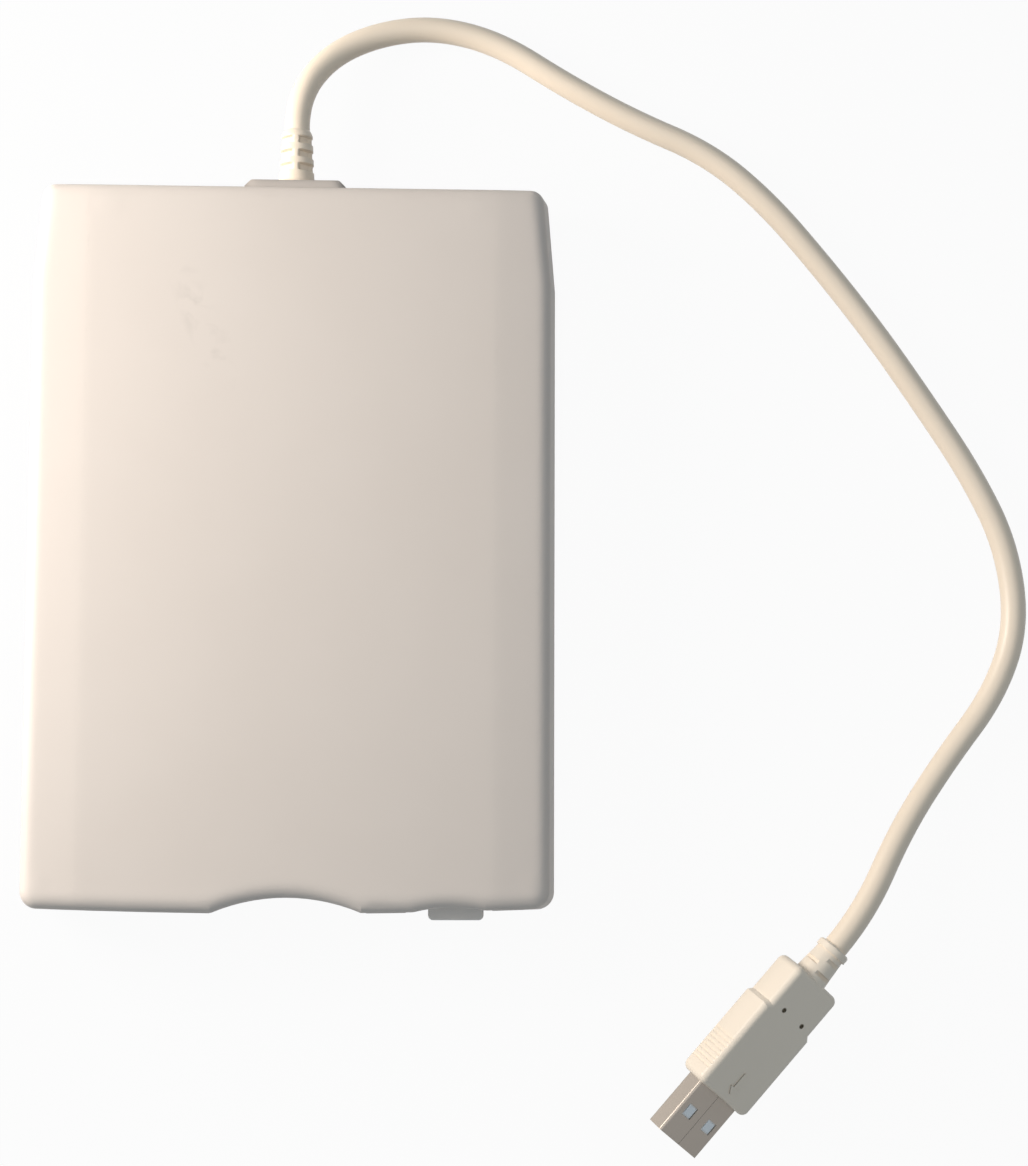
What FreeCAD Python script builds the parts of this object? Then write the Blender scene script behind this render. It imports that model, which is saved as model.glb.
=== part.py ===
"""External floppy disk drive: a flat desktop box with a bowed front, a disk slot, an eject button
and a captive cord that ends in a flat four-contact plug.

Frame: millimetres, X to the right, Y to the rear, Z up. The origin lies under the middle of the
drive, on the surface that its rubber feet stand on. The disk slot faces -Y.
"""

import FreeCAD, Part
import math
import os
import re
import sys

import Sketcher
from FreeCAD import Placement, Rotation, Vector

# Driving sizes, in millimetres and degrees: (name, value, what it is).
SIZES = [
    ("case_width", 104.0, "case across its parting line"),
    ("case_length", 143.3, "case from the peak of the bow to the rear wall"),
    ("flap_room", 5.5, "room behind the front wall for the flap to swing in"),
    ("rear_room", 4.75, "room between the frame and the rear wall"),
    ("case_top", 18.0, "top of the case above the table"),
    ("parting", 9.4, "parting line of the two shells above the table"),
    ("foot_height", 0.8, "gap that the feet keep under the case"),
    ("side_draft", 10.5, "lean of the side walls above the parting line"),
    ("end_draft", 4.0, "lean of the front and rear walls"),
    ("bottom_draft", 6.0, "lean of the walls below the parting line"),
    ("bow", 1.05, "how far the front corners lie behind the bow's peak"),
    ("rear_taper", 1.6, "narrowing of each side at the rear"),
    ("rear_taper_length", 19.6, "length of that narrowing"),
    ("front_corner", 3.4, "radius of the front corners in plan"),
    ("rear_corner", 2.8, "radius of the rear corners in plan"),
    ("top_edge", 2.3, "rounding of the top edges"),
    ("bottom_edge", 1.8, "rounding of the bottom edges"),
    ("shoulder_width", 12.0, "sloping shoulder of the lid, from its side"),
    ("shoulder_drop", 0.5, "fall of the lid over the shoulder"),
    ("side_wall", 3.1, "side wall at the parting line"),
    ("rear_wall", 2.2, "rear wall"),
    ("front_wall", 4.85, "front wall at the bow's peak"),
    ("roof_wall", 1.8, "lid thickness"),
    ("floor_wall", 1.8, "case floor thickness"),
    ("finger_scoop_width", 31.0, "finger scoop in the front edge"),
    ("finger_scoop_depth", 3.4, "depth of the finger scoop"),
    ("button_scoop_width", 20.0, "scoop round the eject button"),
    ("button_scoop_depth", 1.6, "depth of that scoop"),
    ("button_scoop_offset", 0.6, "centre of that scoop from the button, towards the middle"),
    ("slot_width", 92.0, "disk slot"),
    ("slot_height", 4.8, "disk slot above the parting line"),
    ("rear_pad_width", 20.0, "raised pad round the cord's exit, at its foot"),
    ("rear_pad_proud", 1.3, "how far that pad stands out"),
    ("rear_pad_half_height", 5.6, "half height of that pad"),
    ("rear_pad_corner", 1.0, "rounding of that pad's corners in plan"),
    ("lip_reach", 50.0, "lips before and behind the middle"),
    ("lip_height", 1.0, "locating lips of the lid inside the lower shell"),
    ("lip_thickness", 0.6, "thickness of those lips"),
    ("fit_gap", 0.15, "clearance between fixed pieces that fit together"),
    ("case_screw_from_side", 16.0, "case screws inside the widest line of the case"),
    ("case_post_radius", 2.4, "screw posts of the two shells"),
    ("case_screw_radius", 1.0, "shank of a case screw"),
    ("screw_head_radius", 1.9, "head of a case or mechanism screw"),
    ("screw_head_height", 1.0, "height of those heads"),
    ("screw_hole_gap", 0.15, "play of a screw in its clearance hole"),
    ("foot_radius", 4.2, "rubber foot"),
    ("foot_seat", 0.6, "depth of the foot's recess in the floor"),
    ("foot_inset", 9.0, "feet inside the widest line of the case"),
    ("foot_end_inset", 11.65, "feet inside the ends of the case"),
    ("foot_gap", 0.1, "play of a foot in its recess"),
    # Eject button and light pipe
    ("button_from_side", 19.2, "centre of the eject button inside the widest line of the case"),
    ("button_width", 10.9, "eject button"),
    ("button_height", 5.0, "eject button"),
    ("button_bottom", 3.1, "underside of the button above the table"),
    ("button_proud", 1.3, "how far the button stands beyond the bow's peak"),
    ("button_corner", 1.0, "front corners of the button"),
    ("button_gap", 0.25, "clearance round the button in its window"),
    ("lens_from_side", 16.0, "centre of the lamp window inside the widest line of the case"),
    ("lens_width", 4.0, "lamp window"),
    ("lens_height", 1.6, "lamp window"),
    ("lens_bottom", 5.2, "underside of the lamp window"),
    ("lens_inset", 0.9, "front of the light pipe behind the bow's peak"),
    ("lens_gap", 0.3, "rear end of the light pipe ahead of the sensor board"),
    # Flap
    ("flap_thickness", 1.0, "slot flap"),
    ("flap_gap", 0.3, "gap between the flap and the front wall"),
    ("flap_side_gap", 0.3, "gap at each end of the flap"),
    ("flap_lap", 0.3, "lower edge of the flap above the parting line"),
    ("flap_axis_drop", 1.1, "flap pivot below the lid"),
    ("flap_pin_radius", 0.7, "flap pivot"),
    ("flap_pin_length", 1.5, "flap pivot"),
    ("pivot_gap", 0.05, "radial clearance of small pivots"),
    ("flap_ear", 1.8, "thickness of the ears that carry the flap"),
    # Mechanism frame
    ("frame_side_gap", 0.9, "gap between the frame and the side walls"),
    ("hub_from_frame", 49.5, "spindle behind the frame's front edge"),
    ("frame_sheet", 0.8, "sheet of the frame"),
    ("frame_seat", 0.4, "height of the bosses under the frame"),
    ("frame_slot_margin", 0.85, "side walls of the frame above their slots"),
    ("frame_boss_radius", 4.0, "bosses under the frame"),
    ("frame_screw_inset", 5.0, "frame screws inside the frame's sides"),
    ("frame_screw_ahead", 23.2, "front pair of frame screws before the spindle"),
    ("frame_screw_behind", 36.8, "rear pair of frame screws behind the spindle"),
    ("frame_screw_radius", 1.2, "shank of a frame screw"),
    ("cover_lift", 0.3, "cover above the slide plate"),
    ("cover_sheet", 0.4, "sheet of the cover"),
    ("cover_skirt", 4.5, "depth of the cover's skirts"),
    ("cover_side_gap", 0.05, "cover skirt outside the frame"),
    ("cover_inset", 5.3, "cover behind the frame's front edge"),
    ("head_window_width", 29.0, "window in the cover over the heads"),
    ("head_window_ahead", 21.7, "front edge of that window before the heads"),
    # Disk
    ("disk_width", 90.0, "disk that the drive takes"),
    ("disk_thickness", 3.3, "disk that the drive takes"),
    ("disk_side_gap", 0.25, "play of the disk in the carrier"),
    ("disk_drop", 2.3, "fall of the disk as it loads"),
    # Carrier
    ("carrier_sheet", 0.5, "sheet of the disk carrier"),
    ("carrier_inset", 4.3, "carrier behind the frame's front edge"),
    ("carrier_side_tail", 12.0, "carrier's sides behind its rear pins"),
    ("carrier_ear_margin", 1.4, "carrier's plate behind the ears of the head arm"),
    ("carrier_lip", 4.0, "lips that carry the disk's edges"),
    ("carrier_top_gap", 0.2, "space over the disk in the carrier"),
    ("head_slot_margin", 5.9, "slot beyond the heads' centre at each end of their travel"),
    ("head_slot_half", 6.5, "half width of that slot"),
    ("post_slot_half", 9.0, "half width there"),
    ("cam_pin_radius", 0.8, "pins of the carrier"),
    ("cam_gap", 0.15, "clearance of those pins in their slots"),
    ("cam_pin_ahead", 32.2, "front pins before the spindle"),
    ("cam_pin_behind", 29.8, "rear pins behind the spindle"),
    ("cam_pin_lift", 1.9, "pins above the carrier's underside"),
    # Slide plate
    ("slide_stroke", 4.5, "travel of the slide plate and the eject button"),
    ("slide_sheet", 0.6, "sheet of the slide plate"),
    ("slide_lift", 0.4, "slide plate above the raised carrier"),
    ("slide_side_gap", 0.3, "gap between the slide plate's sides and the frame"),
    ("slide_slot_margin", 0.65, "slide plate's sides below their slots"),
    ("slide_inset", 6.8, "slide plate behind the frame's front edge"),
    ("slide_bar", 7.5, "its cross bar"),
    ("slide_side_tail", 14.0, "its sides behind the carrier's rear pins"),
    ("slide_rear_gap", 6.1, "its side strips before the frame's rear face"),
    ("slide_strip", 8.9, "its side strips"),
    ("tab_rise", 1.2, "lower edge of the tab above the button's underside"),
    ("tab_over", 0.5, "upper edge of the tab above the button's top"),
    ("tab_reach", 0.2, "front face of the tab before the frame's front edge"),
    ("spring_radius", 1.4, "slide springs"),
    ("spring_wire", 0.35, "wire of the slide springs"),
    ("spring_coils", 7, "coils that each slide spring shows"),
    ("spring_inset", 3.6, "slide springs inside the frame's sides"),
    ("spring_drop", 4.3, "slide springs below the top of the slide plate"),
    ("spring_length", 14.6, "slide springs between their anchors"),
    ("spring_hook", 0.8, "sheet of the tabs that the springs hook on"),
    # Latch
    ("latch_x", -27.0, "pivot of the shutter latch"),
    ("latch_behind_hub", 19.8, "pivot of the shutter latch behind the spindle"),
    ("latch_sheet", 0.4, "sheet of the latch"),
    ("latch_length", 18.0, "arm of the latch"),
    ("latch_width", 5.0, "arm of the latch"),
    ("latch_gap", 0.05, "latch above the carrier"),
    ("latch_turn", 30.0, "turn of the latch as a disk goes in"),
    ("latch_pin_radius", 0.9, "pin that catches the disk's shutter"),
    ("latch_slot_gap", 0.4, "clearance of that pin in its slot"),
    ("rivet_radius", 1.1, "rivet that the latch turns on"),
    ("rivet_head_radius", 2.2, "head of that rivet"),
    ("rivet_head_height", 0.35, "head of that rivet"),
    # Spindle motor
    ("board_sheet", 0.8, "motor board"),
    ("board_gap", 2.5, "motor board behind the sensor board"),
    ("board_under_clip", 0.6, "motor board under the guide rod's front clip"),
    ("board_half_width", 35.0, "motor board from the middle"),
    ("bearing_radius", 3.0, "spindle bearing"),
    ("bearing_flange_radius", 5.0, "flange of that bearing"),
    ("bearing_flange", 0.6, "flange of that bearing"),
    ("bearing_clear", 0.2, "bearing below the rotor cup"),
    ("spindle_radius", 2.0, "spindle shaft"),
    ("spindle_gap", 0.03, "radial clearance of the shaft in its bearing"),
    ("spindle_lift", 0.3, "foot of the shaft above the frame's underside"),
    ("spindle_proud", 1.6, "tip of the shaft above the chucking plate"),
    ("rotor_radius", 18.0, "rotor cup"),
    ("rotor_sheet", 0.6, "rotor cup"),
    ("rotor_height", 2.4, "rotor cup"),
    ("rotor_clear", 0.4, "rotor cup above the motor board"),
    ("magnet_thickness", 1.4, "ring magnet outside the cup"),
    ("stator_gap", 0.5, "air gap between the magnet and the stator"),
    ("stator_radius", 30.0, "outside of the stator's core"),
    ("stator_yoke", 2.0, "ring of the stator's core"),
    ("stator_stack", 1.0, "stator laminations"),
    ("stator_lift", 0.7, "laminations above the motor board"),
    ("stator_tooth", 1.8, "tooth of the stator"),
    ("stator_shoe", 1.0, "shoe at the end of each tooth"),
    ("stator_teeth", 12, "teeth of the stator"),
    ("stator_open", 88.0, "angle that the stator leaves free for the heads"),
    ("coil_width", 3.6, "coil on each tooth"),
    ("coil_height", 2.4, "coil on each tooth"),
    ("coil_inset", 0.4, "coil from the yoke and the shoe"),
    ("chuck_radius", 14.0, "chucking plate that the disk's hub sits on"),
    ("chuck_thickness", 0.6, "chucking plate"),
    ("drive_pin_circle", 10.0, "drive pin from the spindle"),
    ("drive_pin_radius", 1.2, "drive pin"),
    ("drive_pin_height", 1.4, "drive pin above the chucking plate"),
    # Heads
    ("head_from_hub", 39.5, "heads at the outermost track from the spindle"),
    ("head_stroke", 14.8, "travel of the head carriage"),
    ("head_size", 5.6, "sliders of both heads"),
    ("carriage_lift", 1.2, "carriage above the frame's floor"),
    ("carriage_thickness", 2.4, "carriage's low arm"),
    ("carriage_half", 6.0, "half width of the carriage's low arm"),
    ("carriage_front", 4.2, "carriage before the heads' centre"),
    ("carriage_tail", 3.0, "carriage behind the arm's pivot"),
    ("carriage_block_length", 5.8, "carriage's rear block"),
    ("block_drop", 1.2, "rear block below the arm's pivot"),
    ("carriage_block_half", 7.6, "half width of that block"),
    ("lower_head_reach", 1.5, "lower head above the chucking plate"),
    ("upper_head_height", 0.85, "upper head under its arm"),
    ("pivot_drop", 1.15, "pivot of the upper head arm below its plate"),
    ("arm_pin_radius", 0.5, "pin of the upper head arm"),
    ("arm_knuckle_radius", 1.25, "knuckle of the upper head arm"),
    ("arm_post_thickness", 1.8, "posts that carry that pin"),
    ("arm_lift", 0.45, "raised arm above the raised carrier"),
    ("arm_thickness", 0.9, "plate of the arm"),
    ("arm_half", 5.2, "half width of the arm at its pivot"),
    ("arm_nose_half", 3.6, "half width of the arm over the disk"),
    ("arm_nose_length", 9.0, "length of that narrow nose"),
    ("arm_ear_ahead", 12.8, "ears that the carrier lifts the arm by, before its pivot"),
    ("arm_ear_width", 2.0, "those ears"),
    ("arm_ear_reach", 11.0, "those ears from the middle"),
    ("arm_ear_gap", 0.08, "ears above the raised carrier"),
    ("guide_x", -13.5, "guide rod of the carriage"),
    ("guide_lift", 2.2, "guide rod above the frame's floor"),
    ("guide_radius", 1.0, "guide rod"),
    ("guide_gap", 0.04, "radial clearance of the carriage on its rod"),
    ("guide_ear_radius", 2.1, "ears that run on the rod"),
    ("guide_ear_length", 3.0, "ears that run on the rod"),
    ("guide_ahead", 6.3, "front end of the rod before the heads"),
    ("guide_tail", 3.6, "rear end of the rod behind the carriage"),
    ("guide_clip", 1.6, "clips that hold the rod"),
    ("screw_x", 13.0, "lead screw"),
    ("stepper_lift", 0.1, "stepper motor above the frame's floor"),
    ("screw_radius", 1.5, "lead screw"),
    ("screw_behind_head", 6.9, "front bearing plate of the lead screw behind the heads"),
    ("screw_mount_inset", 2.2, "mounting face of the stepper motor before the carriage's rear end"),
    ("screw_plate", 0.6, "bracket of the lead screw"),
    ("screw_journal", 0.8, "ends of the screw that turn in the bracket"),
    ("screw_bracket_half", 4.6, "half width of that bracket"),
    ("screw_groove_depth", 0.35, "groove of the lead screw"),
    ("stepper_radius", 4.7, "stepper motor"),
    ("stepper_length", 10.0, "stepper motor"),
    ("stepper_gap", 0.1, "gap between the stepper motor and the frame's rear flange"),
    ("follower_gap", 0.1, "follower from the bottom of the screw's groove"),
    ("follower_inset", 4.0, "follower before the carriage's rear end"),
    ("follower_width", 1.2, "follower"),
    # Boards and small electronics
    ("pcb_sheet", 1.0, "main board and cord board"),
    ("pcb_lift", 0.7, "boards above the frame's floor"),
    ("pcb_length", 25.5, "main board and cord board"),
    ("pcb_rear_gap", 2.2, "the two boards before the frame's rear face"),
    ("main_board_width", 22.0, "main board"),
    ("cord_board_width", 20.0, "cord board"),
    ("pcb_inset", 6.2, "the two boards inside the frame's sides"),
    ("chip_height", 1.2, "packages on the boards"),
    ("controller_size", 12.0, "drive controller chip"),
    ("bridge_size", 8.0, "interface chip on the cord board"),
    ("crystal_length", 5.0, "clock crystal"),
    ("crystal_width", 3.2, "clock crystal"),
    ("plug_header_length", 10.0, "header that the cord's wires plug into"),
    ("plug_header_width", 4.5, "that header"),
    ("plug_header_height", 4.0, "that header"),
    ("sensor_board_margin", 5.0, "sensor board beyond the outer sensors"),
    ("sensor_board_inset", 1.8, "sensor board behind the frame's front edge"),
    ("sensor_board_length", 13.0, "sensor board"),
    ("sensor_inset", 9.0, "disk sensors inside the disk's edges"),
    ("sensor_from_front", 7.5, "disk sensors behind the sensor board's front edge"),
    ("media_sensor_x", 20.0, "disk-in sensor"),
    ("sensor_width", 6.0, "sensor switches"),
    ("sensor_depth", 5.0, "sensor switches"),
    ("sensor_height", 3.2, "sensor switches"),
    ("plunger_radius", 0.9, "plungers of the switches"),
    ("plunger_length", 2.4, "plungers of the switches"),
    ("plunger_proud", 0.8, "plungers above their switches"),
    ("plunger_travel", 0.8, "travel of the plungers"),
    ("track_sensor_width", 2.6, "light barrier for the outermost track"),
    ("track_sensor_height", 5.0, "that light barrier"),
    # Cord, strain relief and plug
    ("cord_radius", 2.5, "cord"),
    ("relief_end", 85.0, "rear end of the strain relief"),
    ("relief_base_radius", 4.1, "strain relief at the pad"),
    ("relief_neck_radius", 3.5, "strain relief behind its base"),
    ("relief_end_radius", 3.1, "strain relief at its end"),
    ("relief_flange_radius", 4.6, "flange inside the rear wall"),
    ("relief_flange", 1.4, "flange inside the rear wall"),
    ("relief_hole_radius", 3.0, "neck through the rear wall"),
    ("relief_groove_pitch", 3.2, "pitch of the relief's grooves"),
    ("relief_groove_width", 1.4, "grooves of the relief"),
    ("relief_groove_angle", 130.0, "sweep of each groove about the relief's axis"),
    ("relief_grooves", 3, "groove pairs of the relief"),
    ("cord_exit_run", 6.5, "straight of the cord out of the strain relief"),
    ("cord_plug_run", 8.9, "straight of the cord out of the plug"),
    ("plug_x", 75.4, "tip of the plug"),
    ("plug_y", -115.3, "tip of the plug"),
    ("plug_height", 7.2, "axis of the plug above the table"),
    ("plug_heading", 48.8, "direction of the plug's axis in plan"),
    ("plug_roll", 32.5, "roll of the plug about its axis"),
    ("shell_width", 12.0, "plug shell"),
    ("shell_thickness", 4.5, "plug shell"),
    ("shell_sheet", 0.3, "plug shell"),
    ("shell_edge", 0.6, "bends of the shell"),
    ("shell_seam", 0.08, "seam where the folded sheet meets"),
    ("shell_length", 12.1, "plug shell before the moulding"),
    ("shell_root", 6.0, "plug shell inside the moulding"),
    ("shell_hole", 2.6, "square holes of the shell"),
    ("shell_hole_pitch", 6.3, "square holes of the shell"),
    ("shell_hole_x", 5.0, "square holes from the tip"),
    ("tongue_thickness", 1.9, "insulating tongue in the shell"),
    ("tongue_setback", 0.6, "tongue behind the shell's mouth"),
    ("tongue_stud_gap", 0.3, "studs of the tongue inside the shell's holes"),
    ("tongue_stud", 0.25, "height of those studs"),
    ("contact_width", 1.0, "contacts on the tongue"),
    ("contact_pitch", 2.3, "contacts on the tongue"),
    ("contact_height", 0.2, "contacts above the tongue"),
    ("mould_length", 29.6, "plug moulding"),
    ("mould_front_length", 19.6, "wide part of the moulding"),
    ("mould_width", 15.4, "plug moulding"),
    ("mould_thickness", 7.8, "plug moulding"),
    ("mould_step", 0.9, "how much narrower the rear of the moulding is"),
    ("mould_edge", 1.3, "rounding of the moulding's edges"),
    ("mould_corner", 1.5, "rounding of the moulding's corners in plan"),
    ("mould_pit_radius", 0.45, "moulding pits in the seamed side of the grip"),
    ("mould_pit_depth", 0.6, "depth of those pits"),
    ("mould_pit_y", 3.1, "those pits from the plug's axis"),
    ("mould_pit_behind", 1.4, "those pits behind the start of the step"),
    ("grip_ribs", 8, "grip ribs on each narrow side"),
    ("grip_pitch", 1.0, "grip ribs"),
    ("grip_width", 0.5, "grooves between the ribs"),
    ("grip_depth", 0.15, "grooves between the ribs"),
    ("grip_start", 3.0, "first groove from the front of the moulding"),
    ("plug_relief_length", 7.5, "strain relief of the plug"),
    ("plug_relief_radius", 3.5, "that relief at the moulding"),
    ("plug_relief_waist", 3.0, "that relief before its end ring"),
    ("plug_relief_ring", 1.5, "length of its end ring"),
    ("plug_relief_slot", 0.8, "slots that make that relief bend"),
    ("plug_relief_pitch", 1.6, "pitch of those slots"),
    ("plug_relief_slots", 3, "slots, on alternate sides"),
]

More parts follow.
